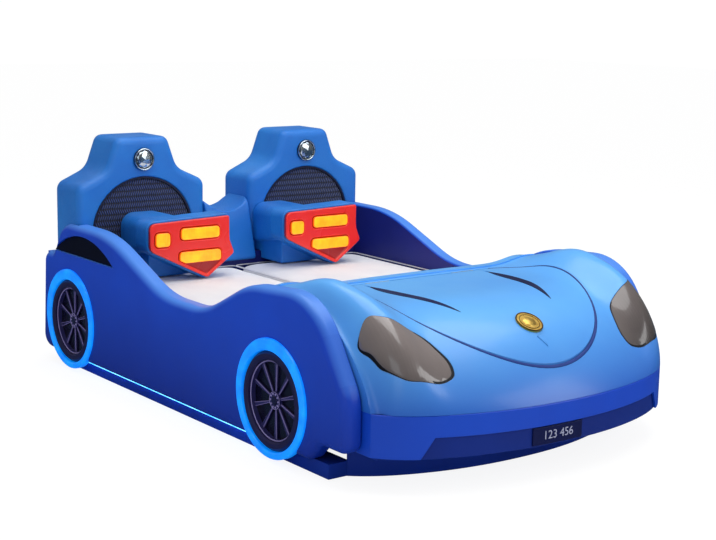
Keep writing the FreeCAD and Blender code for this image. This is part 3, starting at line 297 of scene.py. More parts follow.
@dataclass(frozen=True)
class Moulded(Finish):
    """A moulded or painted plastic with a fine skin, scuffs and a little dust, and where given, painted shade
    darker towards its foot and a painted highlight on faces that look up.
    """

    colour: Colour
    deep: Colour
    roughness: float = 0.34
    coat: float = 0.25
    coat_roughness: float = 0.2
    specular: float = 0.35
    grain: float = 0.00010
    scuffs: float = 0.2
    dust: float = 0.04
    edge: float = 0.003
    # The next three fields give painted light: a darker colour for painted shade below a height band, and a
    # paler colour for a painted highlight on faces that look up.
    low: Colour | None = None
    rise: tuple[float, float] = (0.30, 0.56)
    crest: Colour | None = None

    def wire(self, p: Paint) -> None:
        """Adds the finish's nodes."""
        skin = p.use(moulding_grain)
        marks = p.use(light_scuffs, Amount=self.scuffs).outputs["Mask"]
        bloom = p.use(settled_dust, Amount=self.dust).outputs["Mask"]
        varied = p.mottle(1.6, 3.0, self.colour, self.deep)
        # painted shade: the darker low colour below the rise band
        if self.low:
            varied = p.blend(p.span(p.axis(p.place(), "Z"), *self.rise), self.low, varied)
        # painted highlight: a paler colour on faces that look up
        if self.crest:
            varied = p.blend(p.span(p.facing("Z"), 0.25, 0.85, 0.0, 0.75), varied, self.crest)
        pale = tuple(min(1.0, c * 1.5 + 0.06) for c in self.colour)
        wear_and_painted_light = p.blend(marks, varied, pale)
        colour = p.blend(bloom, wear_and_painted_light, DUST)
        rough = p.math("MULTIPLY_ADD", skin.outputs["Spread"], 0.035, self.roughness)
        p.set(Base_Color=colour, Roughness=p.math("MULTIPLY_ADD", marks, 0.3, rough))
        p.set(Coat_Weight=self.coat, Coat_Roughness=self.coat_roughness, Specular_IOR_Level=self.specular)
        p.relief(skin.outputs["Height"], self.grain, self.edge)


@dataclass(frozen=True)
class StepPaint(Finish):
    """A moulded plastic with painted shade on its sunk faces and a painted highlight on its bevelled faces.
    """

    face: Colour
    # sunk is the colour of the painted shade, bevel the colour of the painted highlight
    sunk: Colour
    bevel: Colour
    axis: str
    level: tuple[float, float]
    roughness: float = 0.28
    coat: float = 0.5

    def wire(self, p: Paint) -> None:
        """Adds the finish's nodes."""
        skin = p.use(moulding_grain)
        marks = p.use(light_scuffs, Amount=0.2).outputs["Mask"]
        depth = p.math("ABSOLUTE", p.axis(p.place(), self.axis))
        facing = p.math("ABSOLUTE", p.facing(self.axis))
        # painted highlight: the paler bevel colour on slanted faces
        slanted = p.math("MULTIPLY", p.span(facing, 0.35, 0.55), p.span(facing, 0.8, 0.97, 1.0, 0.0))
        flat = p.blend(0.12, self.face, p.mottle(8.0, 3.0, self.face, self.bevel))
        colour = p.blend(slanted, flat, self.bevel)
        # painted shade: the darker sunk colour on faces below the level
        colour = p.blend(p.span(depth, *self.level), self.sunk, colour)
        p.set(Base_Color=colour, Coat_Weight=self.coat, Coat_Roughness=0.15, Specular_IOR_Level=0.4)
        rough = p.math("MULTIPLY_ADD", skin.outputs["Spread"], 0.03, self.roughness)
        p.set(Roughness=p.math("MULTIPLY_ADD", marks, 0.3, rough))
        p.relief(skin.outputs["Height"], 0.0001, 0.0015)


@dataclass(frozen=True)
class Upholstery(Finish):
    """Smooth synthetic leather over foam, with a pebbled grain and soft mottling."""

    colour: Colour
    deep: Colour
    roughness: float = 0.42
    pebble: float = 260.0
    depth: float = 0.00035

    def wire(self, p: Paint) -> None:
        """Adds the finish's nodes."""
        place = p.place()
        cells = p.add("ShaderNodeTexVoronoi", {"Vector": place, "Scale": self.pebble},
                      feature="DISTANCE_TO_EDGE")
        creases = p.span(cells.outputs["Distance"], 0.0, 0.16)
        folds = p.noise(place, 9.0, 4.0)
        bloom = p.use(settled_dust, Amount=0.1).outputs["Mask"]
        mottled = p.mottle(2.4, 4.0, self.colour, self.deep)
        creased = p.blend(p.math("MULTIPLY", p.math("SUBTRACT", 1.0, creases), 0.25), mottled, self.deep)
        p.set(Base_Color=p.blend(bloom, creased, LINT))
        p.set(Roughness=p.span(p.noise(place, 14.0), 0.3, 0.7, self.roughness - 0.05, self.roughness + 0.06))
        p.set(Specular_IOR_Level=0.45, Coat_Weight=0.12, Coat_Roughness=0.3)
        p.relief(p.math("MULTIPLY_ADD", folds, 1.4, creases), self.depth)


@dataclass(frozen=True)
class Knit(Finish):
    """The seats' spacer mesh: rows of slanted ribs that change their lean from row to row, dark in the
    hollows between the ribs, partly the mesh's own dark backing and partly painted shade.
    """

    thread: Colour
    hollow: Colour
    row: float = 0.027
    rib: float = 0.0115
    lean: float = 0.42

    def wire(self, p: Paint) -> None:
        """Adds the finish's nodes."""
        place = p.place()
        wobble = p.math("MULTIPLY_ADD", p.noise(place, 26.0, 2.0), 0.008, -0.004)
        level = p.math("DIVIDE", p.math("ADD", p.axis(place, "Z"), wobble), self.row)
        inside = p.math("FRACT", level)
        second = p.math("GREATER_THAN", p.math("FRACT", p.math("MULTIPLY", level, 0.5)), 0.5)
        odd = p.math("MULTIPLY_ADD", second, 2.0, -1.0)
        lean = p.math("MULTIPLY", p.math("MULTIPLY", inside, odd), self.lean * self.row)
        across = p.math("ADD", p.axis(place, "X"), lean)
        ribs = p.math("SINE", p.math("MULTIPLY", across, math.tau / self.rib))
        bulge = p.math("SINE", p.math("MULTIPLY", inside, math.pi))
        height = p.math("MULTIPLY", p.math("MULTIPLY_ADD", ribs, 0.5, 0.5), p.math("POWER", bulge, 0.6))
        fine = p.noise(p.stretch(place, (1.0, 1.0, 2.6)), 700.0, 2.0)
        # dark hollows: partly the mesh's own dark backing, partly painted shade between the ribs
        wear_and_painted_light = p.math("MULTIPLY", p.span(height, 0.2, 0.95), p.span(fine, 0.2, 0.6, 0.55, 1.0))
        p.set(Base_Color=p.blend(wear_and_painted_light, self.hollow, self.thread), Roughness=0.62, Sheen_Weight=0.25)
        p.relief(height, 0.004)


@dataclass(frozen=True)
class Cotton(Finish):
    """A knitted cotton cover with fine loops and soft, slightly rumpled areas, with painted shade in the dips
    of the rumples and loops.
    """

    colour: Colour
    shade: Colour
    loop: float = 0.0022

    def wire(self, p: Paint) -> None:
        """Adds the finish's nodes."""
        place = p.place()
        turns = math.tau / self.loop
        across = p.math("SINE", p.math("MULTIPLY", p.axis(place, "X"), turns))
        round_edge = p.math("ADD", p.axis(place, "Y"), p.axis(place, "Z"))
        along = p.math("SINE", p.math("MULTIPLY", round_edge, turns))
        loops = p.math("MULTIPLY_ADD", p.math("MULTIPLY", across, along), 0.5, 0.5)
        rumple = p.noise(p.stretch(place, (1.0, 0.6, 1.0)), 6.0, 3.0)
        # painted shade: the shade colour in the low parts of the rumples and loops
        soft = p.math("MULTIPLY_ADD", p.span(rumple, 0.35, 0.7), 0.5, p.math("MULTIPLY", loops, 0.12))
        colour = p.blend(soft, self.shade, self.colour)
        p.set(Base_Color=colour, Roughness=0.88, Sheen_Weight=0.2, Specular_IOR_Level=0.2)
        p.relief(p.math("MULTIPLY_ADD", rumple, 5.0, loops), 0.0007)


@dataclass(frozen=True)
class Timber(Finish):
    """Planed timber or plywood with rings drawn out along one axis."""

    pale: Colour
    dark: Colour
    along: tuple[float, float, float] = (1.0, 14.0, 14.0)

    def wire(self, p: Paint) -> None:
        """Adds the finish's nodes."""
        drawn = p.stretch(p.place(), self.along)
        rings = p.add("ShaderNodeTexWave", {"Vector": drawn, "Scale": 1.1, "Distortion": 7.0, "Detail": 3.0,
                                            "Detail Scale": 1.2}, wave_type="RINGS")
        pores = p.noise(p.stretch(p.place(), tuple(a * 9 for a in self.along)), 9.0, 4.0)
        share = p.math("MULTIPLY_ADD", p.span(pores, 0.35, 0.65), 0.35,
                       p.math("MULTIPLY", rings.outputs["Fac"], 0.55))
        p.set(Base_Color=p.blend(share, self.pale, self.dark), Roughness=0.6, Specular_IOR_Level=0.3)
        p.relief(pores, 0.0003, 0.0015)


@dataclass(frozen=True)
class Glow(Finish):
    """A translucent lamp or light guide, lit from within and brighter at its middle."""

    colour: Colour
    bright: Colour
    strength: float
    roughness: float = 0.3
    flute: float = 0.009
    rim: Colour | None = None

    def wire(self, p: Paint) -> None:
        """Adds the finish's nodes."""
        light = p.mottle(18.0, 2.0, self.colour, self.bright)
        if self.rim:
            facing = p.math("ABSOLUTE", p.facing("Y"))
            light = p.blend(p.span(facing, 0.55, 0.985), self.rim, light)
        flutes = p.math("SINE", p.math("MULTIPLY", p.axis(p.place(), "X"), math.tau / self.flute))
        p.set(Base_Color=light, Emission_Color=light, Emission_Strength=self.strength)
        p.set(Roughness=self.roughness, Coat_Weight=0.4, Coat_Roughness=0.08)
        p.relief(flutes, 0.0003)


@dataclass(frozen=True)
class Metal(Finish):
    """A plated or polished metal with fine brushing or hammering."""

    colour: Colour
    dull: Colour
    roughness: float = 0.18
    hammer: float = 0.0

    def wire(self, p: Paint) -> None:
        """Adds the finish's nodes."""
        place = p.place()
        blotch = p.span(p.noise(place, 60.0, 4.0), 0.3, 0.75)
        p.set(Base_Color=p.blend(blotch, self.colour, self.dull), Metallic=1.0)
        p.set(Roughness=p.span(p.noise(place, 120.0), 0.3, 0.7, self.roughness, self.roughness + 0.12))
        if self.hammer:
            cells = p.add("ShaderNodeTexVoronoi", {"Vector": place, "Scale": 95.0})
            p.relief(cells.outputs["Distance"], self.hammer, 0.001)
        else:
            p.relief(p.noise(p.stretch(place, (40.0, 4.0, 40.0)), 60.0), 0.00006, 0.0008)


@dataclass(frozen=True)
class SmokedLens(Finish):
    """A smoked lamp cover: glossy, with a painted reflection that makes it paler towards its upper, inner end
    and on the left lamp.
    """

    name: str = "smoked_lens"
    pale: Colour = tint(134, 124, 122)
    dark: Colour = tint(30, 27, 28)
    flute: float = 0.012

    def wire(self, p: Paint) -> None:
        """Adds the finish's nodes."""
        across = p.axis(p.place(), "X")
        # painted reflection: paler higher up and towards the inner end
        rise = p.span(p.axis(p.place(), "Z"), 0.33, 0.60)
        inner = p.span(p.math("ABSOLUTE", across), 0.40, 0.70, 0.55, 0.0)
        cloud = p.math("MULTIPLY", p.noise(p.place(), 9.0, 2.0), 0.18)
        # painted reflection: paler on the left lamp, darker on the right
        turned = p.span(across, -0.7, 0.7, 0.14, -0.34)
        share = p.math("ADD", p.math("MULTIPLY_ADD", rise, 0.75, turned), p.math("ADD", inner, cloud))
        flutes = p.math("SINE", p.math("MULTIPLY", across, math.tau / self.flute))
        p.set(Base_Color=p.blend(p.span(share, 0.1, 1.1), self.dark, self.pale), Roughness=0.22)
        p.set(Coat_Weight=0.8, Coat_Roughness=0.06, Specular_IOR_Level=0.5)
        p.relief(flutes, 0.00008, 0.0015)


# The bonnet's darker low colour is painted shade down the nose.
BONNET = Moulded("bonnet_gloss", tint(100, 182, 253), tint(86, 168, 248), roughness=0.34, coat=0.4,
                 low=tint(18, 84, 188), rise=(0.26, 0.58))
BUMPER = Moulded("bumper_paint", tint(18, 74, 200), tint(14, 64, 186), roughness=0.36, coat=0.2,
                 specular=0.25)
# The side panels' darker colour near the floor is painted shade; their paler colour on faces that look up is
# a painted highlight.
SIDES = Moulded("side_satin", tint(16, 76, 212), tint(12, 66, 196), roughness=0.4, coat=0.15,
                specular=0.25, scuffs=0.1, low=tint(8, 46, 156), rise=(0.06, 0.5), crest=tint(86, 152, 240))
LINING = Moulded("liner_satin", tint(26, 36, 128), tint(20, 29, 112), roughness=0.5, coat=0.05, grain=0.0003)
# Painted shade for the gap round the lid: the lid seat seen through it and the dark tube in it.
GROOVE = Moulded("lid_groove_shade", tint(22, 58, 140), tint(16, 46, 122), roughness=0.5, coat=0.0)
PLINTH = Moulded("plinth_laminate", tint(7, 56, 166), tint(5, 44, 142), roughness=0.5, coat=0.0, specular=0.2)
GRILLE = Moulded("valance_plastic", tint(9, 44, 136), tint(7, 36, 118), roughness=0.5, coat=0.0, specular=0.2)
# Near-black painted shade for the sheets in the arch recesses.
RECESS = Moulded("recess_plastic", tint(4, 6, 40), tint(2, 3, 30), roughness=0.5, coat=0.0, specular=0.2)
# Dark navy of the vent inserts and of the leaves over the slots: partly their own colour, partly painted
# shade inside the slots.
VENT = Moulded("vent_plastic", tint(12, 26, 84), tint(8, 18, 66), roughness=0.5, coat=0.0, specular=0.2)
# The trims' near-black dish between the spokes is painted shade, and their pale lavender on slanted spoke
# faces is a painted highlight.
TRIM = StepPaint("wheel_paint", tint(34, 34, 88), tint(8, 8, 36), tint(122, 112, 172), "X", (0.805, 0.808))
CAP = Moulded("wheel_cap", tint(20, 20, 60), tint(14, 14, 46), roughness=0.26, coat=0.5)
# Pale lavender painted highlight for the thin rings at the rim lips and hubs, and for the hub studs.
RIM_HIGHLIGHT = Moulded("rim_line", tint(150, 140, 196), tint(128, 118, 178), roughness=0.3, coat=0.5, edge=0.0)
TYRE = Moulded("tyre_plastic", tint(32, 30, 80), tint(23, 22, 64), roughness=0.44, coat=0.1, scuffs=0.4)
# The fascia's darker red in the lens pockets is painted shade, and its brighter red on slanted faces is a
# painted highlight.
FASCIA = StepPaint("fascia_red", tint(246, 40, 34), tint(170, 10, 12), tint(255, 72, 58), "Y",
                   (0.6618, 0.6575))
BLACK = Moulded("black_satin", tint(26, 27, 32), tint(18, 19, 24), roughness=0.42, coat=0.1)
GASKET = Moulded("lamp_gasket", tint(14, 15, 24), tint(9, 10, 18), roughness=0.55, coat=0.0)
PLATE = Moulded("plate_plastic", tint(12, 20, 78), tint(9, 15, 64), roughness=0.35, coat=0.3)
TUB = Moulded("tub_plastic", tint(30, 66, 160), tint(24, 56, 146), roughness=0.55, coat=0.0, grain=0.0004)
BOARD_WHITE = Moulded("circuit_white", tint(224, 228, 232), tint(214, 220, 226), roughness=0.5, coat=0.0)
MARKING = Moulded("plate_marking", tint(176, 180, 206), tint(160, 166, 196), roughness=0.4, coat=0.0)
COVER = Upholstery("seat_leather", tint(30, 132, 222), tint(16, 108, 204))
PIPING = Upholstery("piping_leather", tint(14, 22, 62), tint(9, 15, 46), roughness=0.36)
MESH = Knit("seat_knit", tint(46, 74, 148), tint(3, 6, 30))
TICKING = Cotton("mattress_cotton", tint(254, 254, 255), tint(238, 238, 244))
SEAM = Cotton("mattress_seam", tint(240, 240, 246), tint(222, 222, 230), loop=0.0016)
PINE = Timber("pine", tint(228, 194, 142), tint(196, 150, 98))
PINE_LONG = Timber("pine_long", tint(226, 190, 138), tint(192, 146, 94), along=(14.0, 1.0, 14.0))
PLYWOOD = Timber("plywood", tint(214, 184, 140), tint(184, 148, 102), along=(1.4, 16.0, 10.0))
CYAN = Glow("ring_glow", tint(0, 126, 246), tint(4, 150, 255), 0.62)
AMBER = Glow("amber_glow", tint(255, 160, 6), tint(255, 186, 14), 0.55, rim=tint(236, 96, 8))
UNDERGLOW = Glow("underglow", tint(60, 170, 255), tint(120, 206, 255), 3.0)
GOLD = Metal("gold_plate", tint(248, 212, 116), tint(222, 176, 78), roughness=0.26, hammer=0.0003)
BRONZE = Metal("bronze_ring", tint(120, 84, 36), tint(92, 62, 24), roughness=0.3)
CHROME = Metal("chrome_plate", tint(226, 234, 240), tint(170, 190, 204), roughness=0.08)
STEEL = Metal("zinc_steel", tint(190, 194, 200), tint(150, 156, 164), roughness=0.3)
REFLECTOR = Metal("lamp_reflector", tint(150, 146, 146), tint(110, 106, 108), roughness=0.25)
LENS = SmokedLens()


# ---------------------------------------------------------------- ways of making and finishing pieces
WELD = 0.00002
FACING = 0.9
LEVEL_WITHIN = 0.0005


def clear_selection() -> None:
    """Deselects everything, so that an operator acts on one piece alone."""
    if bpy.context.object and bpy.context.object.mode != "OBJECT":
        bpy.ops.object.mode_set(mode="OBJECT")
    bpy.ops.object.select_all(action="DESELECT")


def choose(piece: Piece) -> None:
    """Makes one piece the only selected and active one."""
    clear_selection()
    piece.select_set(True)
    bpy.context.view_layer.objects.active = piece


def settle(piece: Piece, angle: float = 32.0) -> None:
    """Puts the piece's place into its mesh and shades it smooth up to an angle, in degrees."""
    choose(piece)
    bpy.ops.object.transform_apply(location=True, rotation=True, scale=True)
    bpy.ops.object.shade_smooth_by_angle(angle=math.radians(angle))


def apply_all(piece: Piece) -> None:
    """Applies all the piece's modifiers in order."""
    choose(piece)
    for modifier in list(piece.modifiers):
        bpy.ops.object.modifier_apply(modifier=modifier.name)


@contextmanager
def editing(piece: Piece) -> Iterator[None]:
    """Opens a piece's mesh with all of it selected, and closes it afterwards."""
    choose(piece)
    bpy.ops.object.mode_set(mode="EDIT")
    bpy.ops.mesh.select_all(action="SELECT")
    yield
    bpy.ops.object.mode_set(mode="OBJECT")


def made(name: str) -> Piece:
    """Names the piece that the last operator made."""
    piece = bpy.context.object
    piece.name = name
    return piece


def thicken(piece: Piece, move: Sequence[float]) -> None:
    """Draws a flat piece out into a solid sheet.

    Args:
        piece: the flat piece.
        move: the way and the distance that it is drawn out, in metres.
    """
    with editing(piece):
        bpy.ops.mesh.extrude_region_move(TRANSFORM_OT_translate={"value": move})
        bpy.ops.mesh.select_all(action="SELECT")
        bpy.ops.mesh.normals_make_consistent(inside=False)


def copy_of(node: str, name: str) -> Piece:
    """Copies a node's mesh into a new piece with its loose triangles joined.

    Args:
        node: the node's name.
        name: the new piece's name.

    Returns:
        The new piece.
    """
    piece = bpy.data.objects.new(name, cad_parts[node].data.copy())
    bpy.context.scene.collection.objects.link(piece)
    choose(piece)
    bpy.ops.mesh.customdata_custom_splitnormals_clear()
    with editing(piece):
        bpy.ops.mesh.remove_doubles(threshold=WELD)
    return piece


def drop_inner_shells(piece: Piece) -> None:
    """Keeps only the widest shell of a piece, which removes its closed inner hollows."""
    form = bmesh.new()
    form.from_mesh(piece.data)
    left = set(form.verts)
    shells: list[list[bmesh.types.BMVert]] = []
    while left:
        start = left.pop()
        shell, edge = [start], [start]
        while edge:
            reached = {e.other_vert(v) for v in edge for e in v.link_edges} & left
            left -= reached
            edge = list(reached)
            shell += edge
        shells.append(shell)
    shells.sort(key=lambda s: max(v.co.x for v in s) - min(v.co.x for v in s), reverse=True)
    inner = [v for shell in shells[1:] for v in shell]
    bmesh.ops.delete(form, geom=inner, context="VERTS")
    form.to_mesh(piece.data)
    form.free()


def soften(piece: Piece, voxel: float, passes: int) -> None:
    """Turns a piece into one even skin and rounds it, as foam under a cover.

    Args:
        piece: the piece.
        voxel: the size of its faces, in metres.
        passes: how many times it is smoothed.
    """
    remesh = piece.modifiers.new("skin", "REMESH")
    remesh.mode = "VOXEL"
    remesh.voxel_size = voxel
    smooth = piece.modifiers.new("round", "SMOOTH")
    smooth.factor = 0.5
    smooth.iterations = passes
    apply_all(piece)
    choose(piece)
    bpy.ops.object.shade_smooth()


def finish(piece: Piece, look: Finish, body: Body, nodes: Iterable[str] = ()) -> Piece:
    """Gives a piece its finish, its body and the nodes that it stands for.

    Args:
        piece: the piece.
        look: its finish.
        body: the body that it rides on.
        nodes: the nodes that it replaces.

    Returns:
        The piece.
    """
    piece.data.materials.clear()
    piece.data.materials.append(look.material())
    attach(piece, body.value)
    if nodes:
        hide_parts(*nodes)
    LOG.info("piece %s rides on %s", piece.name, body.value)
    return piece


def dress(look: Finish, *nodes: str) -> None:
    """Gives nodes that keep their own shape a finish."""
    for node in nodes:
        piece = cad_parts[node]
        if piece.material_slots:
            piece.material_slots[0].material = look.material()
        else:
            piece.data.materials.append(look.material())
        LOG.info("node %s dressed in %s", node, look.name)


def cushion(node: str, name: str, voxel: float, passes: int, hollow: bool = False) -> None:
    """Makes a padded leather cover that stands for a node.

    Args:
        node: the node's name.
        name: the new piece's name.
        voxel: the size of its faces, in metres.
        passes: how many times it is smoothed.
        hollow: whether the node has inner shells to drop.
    """
    piece = copy_of(node, name)
    if hollow:
        drop_inner_shells(piece)
    soften(piece, voxel, passes)
    finish(piece, COVER, Body.BED, [node])


def ring(name: str, radius: float, thick: float, at: Sequence[float], axis: Vector) -> Piece:
    """Makes a round ring.

    Args:
        name: the piece's name.
        radius: the radius of its middle line, in metres.
        thick: its half thickness.
        at: its middle.
        axis: the direction that it faces.

    Returns:
        The piece.
    """
    clear_selection()
    turn = axis.to_track_quat("Z", "Y").to_euler()
    bpy.ops.mesh.primitive_torus_add(major_radius=radius, minor_radius=thick, major_segments=72,
                                     minor_segments=10, location=at, rotation=turn)
    piece = made(name)
    settle(piece, 60)
    return piece


def jewel(name: str, radius: float, rise: float, at: Sequence[float], axis: Vector) -> Piece:
    """Makes a faceted half dome.

    Args:
        name: the piece's name.
        radius: its radius, in metres.
        rise: its height.
        at: the middle of its base.
        axis: the direction that it faces.

    Returns:
        The piece.
    """
    clear_selection()
    turn = axis.to_track_quat("Z", "Y").to_euler()
    bpy.ops.mesh.primitive_ico_sphere_add(subdivisions=2, radius=radius, location=at, rotation=turn)
    piece = made(name)
    piece.scale = (1.0, 1.0, rise / radius)
    settle(piece, 2)
    return piece


def disc_frame(node: str, lean: Sequence[float]) -> tuple[Vector, Vector]:
    """The middle of a disc's outer face and the direction that it faces.

    Args:
        node: the disc's node.
        lean: roughly the way that it faces.

    Returns:
        The middle and the direction.
    """
    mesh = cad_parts[node].data
    outward = Vector(lean).normalized()
    faces = [face for face in mesh.polygons if face.normal.dot(outward) > FACING]
    axis = sum((face.normal * face.area for face in faces), Vector()).normalized()
    best = max(face.center.dot(axis) for face in faces)
    top = [face for face in faces if face.center.dot(axis) > best - LEVEL_WITHIN]
    area = sum(face.area for face in top)
    middle = sum((face.center * face.area for face in top), Vector()) / area
    return middle, axis


# ---------------------------------------------------------------- sub-assemblies
@dataclass(frozen=True)
class BonnetSurface:
    """The bonnet's surface, worked out from the sizes of its shell, in metres."""

    rear: float = -0.400
    nose: float = -1.386
    half: float = 0.755
    sweep: float = 0.196
    corner: float = 0.060
    base: float = 0.285
    rise: float = 0.330
    wing_rise: float = 0.100
    wing_spread: float = 0.118
    wing_inset: float = 0.105
    wing_run: float = 0.360
    nose_run: float = 0.580
    nose_taper: float = 2.3
    fade_least: float = 0.25
    round_most: float = 0.8
    round_drop: float = 0.3
    round_shift: float = 0.010
    round_spread: float = 0.095
    sweep_power: float = 2.2
    corner_power: int = 10

    def line(self, x: float) -> float:
        """The y of the body's front line at x."""
        share = abs(x) / self.half
        return self.nose + self.sweep * share ** self.sweep_power + self.corner * share ** self.corner_power

    def height(self, x: float, y: float) -> float:
        """The height of the surface at a place."""
        left = max(0.0, 1 - max(0.0, y - self.line(x)) / self.nose_run)
        off = abs(x) - (self.half - self.wing_inset)
        wing = math.exp(-((off / self.wing_spread) ** 2))
        back = min(1.0, max(0.0, (self.rear - y) / self.wing_run))
        fade = self.fade_least + (1 - self.fade_least) * back * back * (3 - 2 * back)
        near = math.exp(-(((off + self.round_shift) / self.round_spread) ** 2))
        sharp = self.round_most - self.round_drop * near
        rise = self.rise + self.wing_rise * wing * fade
        return self.base + rise * (1 - left ** self.nose_taper) ** sharp


SURFACE = BonnetSurface()


@dataclass
class LidDetails:
    """The dark leaves over the lid's vents, a tube of painted shade in the gap round the lid, and the arrow's
    face.
    """

    vent_ends: tuple[float, float] = (-0.500, -1.010)
    vent_start: float = 0.10
    vent_x: tuple[float, float] = (0.318, 0.238)
    vent_bow: float = 0.026
    vent_half: float = 0.024
    vent_fullest: float = 0.72
    vent_thick: float = 0.003
    proud: float = 0.0012
    gap_shade_points: int = 97
    gap_shade_turn: float = 168.0
    gap_shade_half: tuple[float, float] = (0.36, 0.0036)
    lid_middle: float = -0.709
    lid_half: float = 0.528
    lid_nose: float = 0.600
    lid_rear: float = -0.476
    lid_corner: float = 0.190
    side_gap: float = 0.005
    front_gap: float = 0.014
    arrow: tuple[float, float, float] = (-1.201, -1.243, 0.017)
    arrow_inset: tuple[float, float, float] = (0.001, 0.003, 0.9)
    arrow_proud: float = 0.0036
    arrow_thick: float = 0.002

    def build(self) -> None:
        """Makes the details."""
        for side in Side:
            self.vent(side)
        self.gap_shade()
        self.arrow_face()

    def plate(self, piece: Piece, look: Finish, thick: float) -> None:
        """Thickens a flat piece downwards and finishes it on the lid."""
        thicken(piece, (0.0, 0.0, -thick))
        settle(piece, 40)
        finish(piece, look, Body.LID)

    def vent(self, side: Side) -> None:
        """Makes the dark leaf over one vent's slot: partly the vent's own dark colour, partly painted shade
        inside the slot.
        """
        clear_selection()
        bpy.ops.mesh.primitive_grid_add(x_subdivisions=30, y_subdivisions=2, size=1.0)
        piece = made(f"vent_lip_{side.word}")
        rear, front = self.vent_ends
        for vertex in piece.data.vertices:
            run, across = min(0.998, max(0.002, vertex.co.x + 0.5)), vertex.co.y * 2
            share = self.vent_start + (1 - self.vent_start) * run
            middle = self.vent_x[0] + (self.vent_x[1] - self.vent_x[0]) * share
            middle += self.vent_bow * math.sin(math.pi * share)
            half = self.vent_half * math.sin(math.pi * run ** self.vent_fullest) ** 0.8
            x = side.value * (middle + across * half)
            y = rear + (front - rear) * share
            vertex.co = Vector((x, y, SURFACE.height(x, y) + self.proud))
        self.plate(piece, VENT, self.vent_thick)

    def gap_shade(self) -> None:
        """Makes a dark tube of painted shade in the gap round the lid, open along the hinges."""
        clear_selection()
        bpy.ops.mesh.primitive_circle_add(vertices=self.gap_shade_points, fill_type="NOTHING")
        piece = made("lid_gap_shade")
        last = self.gap_shade_points - 1
        share, least = self.gap_shade_half
        widths = []
        for vertex in piece.data.vertices:
            turned = math.radians(2 * self.gap_shade_turn) * vertex.index / last
            turn = math.radians(self.gap_shade_turn) - turned - math.pi / 2
            back = math.sin(turn) > 0
            wider = 0.0 if back else (self.front_gap - self.side_gap) * math.sin(turn) ** 2
            gap = self.side_gap + wider
            inner = self.lid_half - self.lid_corner if back else 0.0
            reach_x = (self.lid_corner if back else self.lid_half) - gap / 2
            reach_y = (self.lid_rear - self.lid_middle if back else self.lid_nose) - gap / 2
            x = math.copysign(inner, math.cos(turn)) + reach_x * math.cos(turn)
            y = self.lid_middle + reach_y * math.sin(turn)
            half = gap * share + least
            widths.append(half)
            vertex.co = Vector((x, y, SURFACE.height(x, y) - half + self.proud))
        form = bmesh.new()
        form.from_mesh(piece.data)
        form.verts.ensure_lookup_table()
        ends = {form.verts[0], form.verts[last]}
        closing = [edge for edge in form.edges if set(edge.verts) == ends]
        bmesh.ops.delete(form, geom=closing, context="EDGES")
        form.to_mesh(piece.data)
        form.free()
        choose(piece)
        bpy.ops.object.convert(target="CURVE")
        points = piece.data.splines[0].points
        ordered = widths if (points[0].co.xyz - Vector(points[-1].co.xyz)).x < 0 else widths[::-1]
        for point, width in zip(points, ordered):
            point.radius = width / self.side_gap
        piece.data.bevel_depth = self.side_gap
        piece.data.bevel_resolution = 2
        piece.data.use_fill_caps = True
        bpy.ops.object.convert(target="MESH")
        settle(piece, 60)
        finish(piece, GROOVE, Body.BED)

    def arrow_face(self) -> None:
        """Makes the darker face of the arrow under the badge."""
        clear_selection()
        bpy.ops.mesh.primitive_circle_add(vertices=3, fill_type="NGON")
        piece = made("arrow_face")
        root, tip, half = self.arrow
        at_root, at_tip, share = self.arrow_inset
        rear = root - at_root
        corners = ((0.0, tip + at_tip), (half * share, rear), (-half * share, rear))
        for vertex, (x, y) in zip(piece.data.vertices, corners):
            vertex.co = Vector((x, y, SURFACE.height(x, y) + self.arrow_proud))
        self.plate(piece, BUMPER, self.arrow_thick)


@dataclass
class Bodywork:
    """The bonnet, lid, bumper, side panels and tail, and the dark sheets of painted shade in the rear arch
    recesses.
    """

    sill: float = 0.5535
    rear: float = 1.246
    front: float = 0.648
    crown: float = 0.6515
    face: float = 0.8232
    sheet: float = 0.0015
    inset: tuple[float, float] = (0.992, 0.985)
    sill_gap: float = 0.001

    def build(self) -> None:
        """Dresses the shells and makes the inlays."""
        dress(BONNET, "bonnet_shell", "bonnet_lid", "cowl_strip")
        dress(BUMPER, "front_bumper")
        dress(GRILLE, "front_valance")
        dress(SIDES, "side_panel_left", "side_panel_right", "tail_panel", "boot_deck")
        dress(LINING, "side_liner_left", "side_liner_right", "foot_bulkhead")
        # the lid seat, seen through the gap round the lid, carries painted shade
        dress(GROOVE, "lid_seat")
        dress(PLINTH, "plinth_left", "plinth_right", "plinth_front", "plinth_rear")
        dress(VENT, "vent_inserts")
        for side in Side:
            self.inlay(side)

    def inlay(self, side: Side) -> None:
        """Makes the dark sheet in one arch recess, painted shade where the rim's shadow falls."""
        clear_selection()
        bpy.ops.mesh.primitive_circle_add(vertices=24, fill_type="NGON")
        piece = made(f"arch_inlay_{side.word}")
        middle, half = (self.rear + self.front) / 2, (self.rear - self.front) / 2
        rise = self.crown - self.sill
        radius = (half ** 2 + rise ** 2) / (2 * rise)
        sweep = math.asin(half / radius)
        for index, vertex in enumerate(piece.data.vertices):
            turn = -sweep + 2 * sweep * index / (len(piece.data.vertices) - 1)
            y = middle + radius * math.sin(turn) * self.inset[0]
            z = self.sill + self.sill_gap + (radius * math.cos(turn) - radius + rise) * self.inset[1]
            vertex.co = Vector((side.value * self.face, y, z))
        thicken(piece, (side.value * self.sheet, 0.0, 0.0))
        settle(piece, 20)
        finish(piece, RECESS, Body.BED)


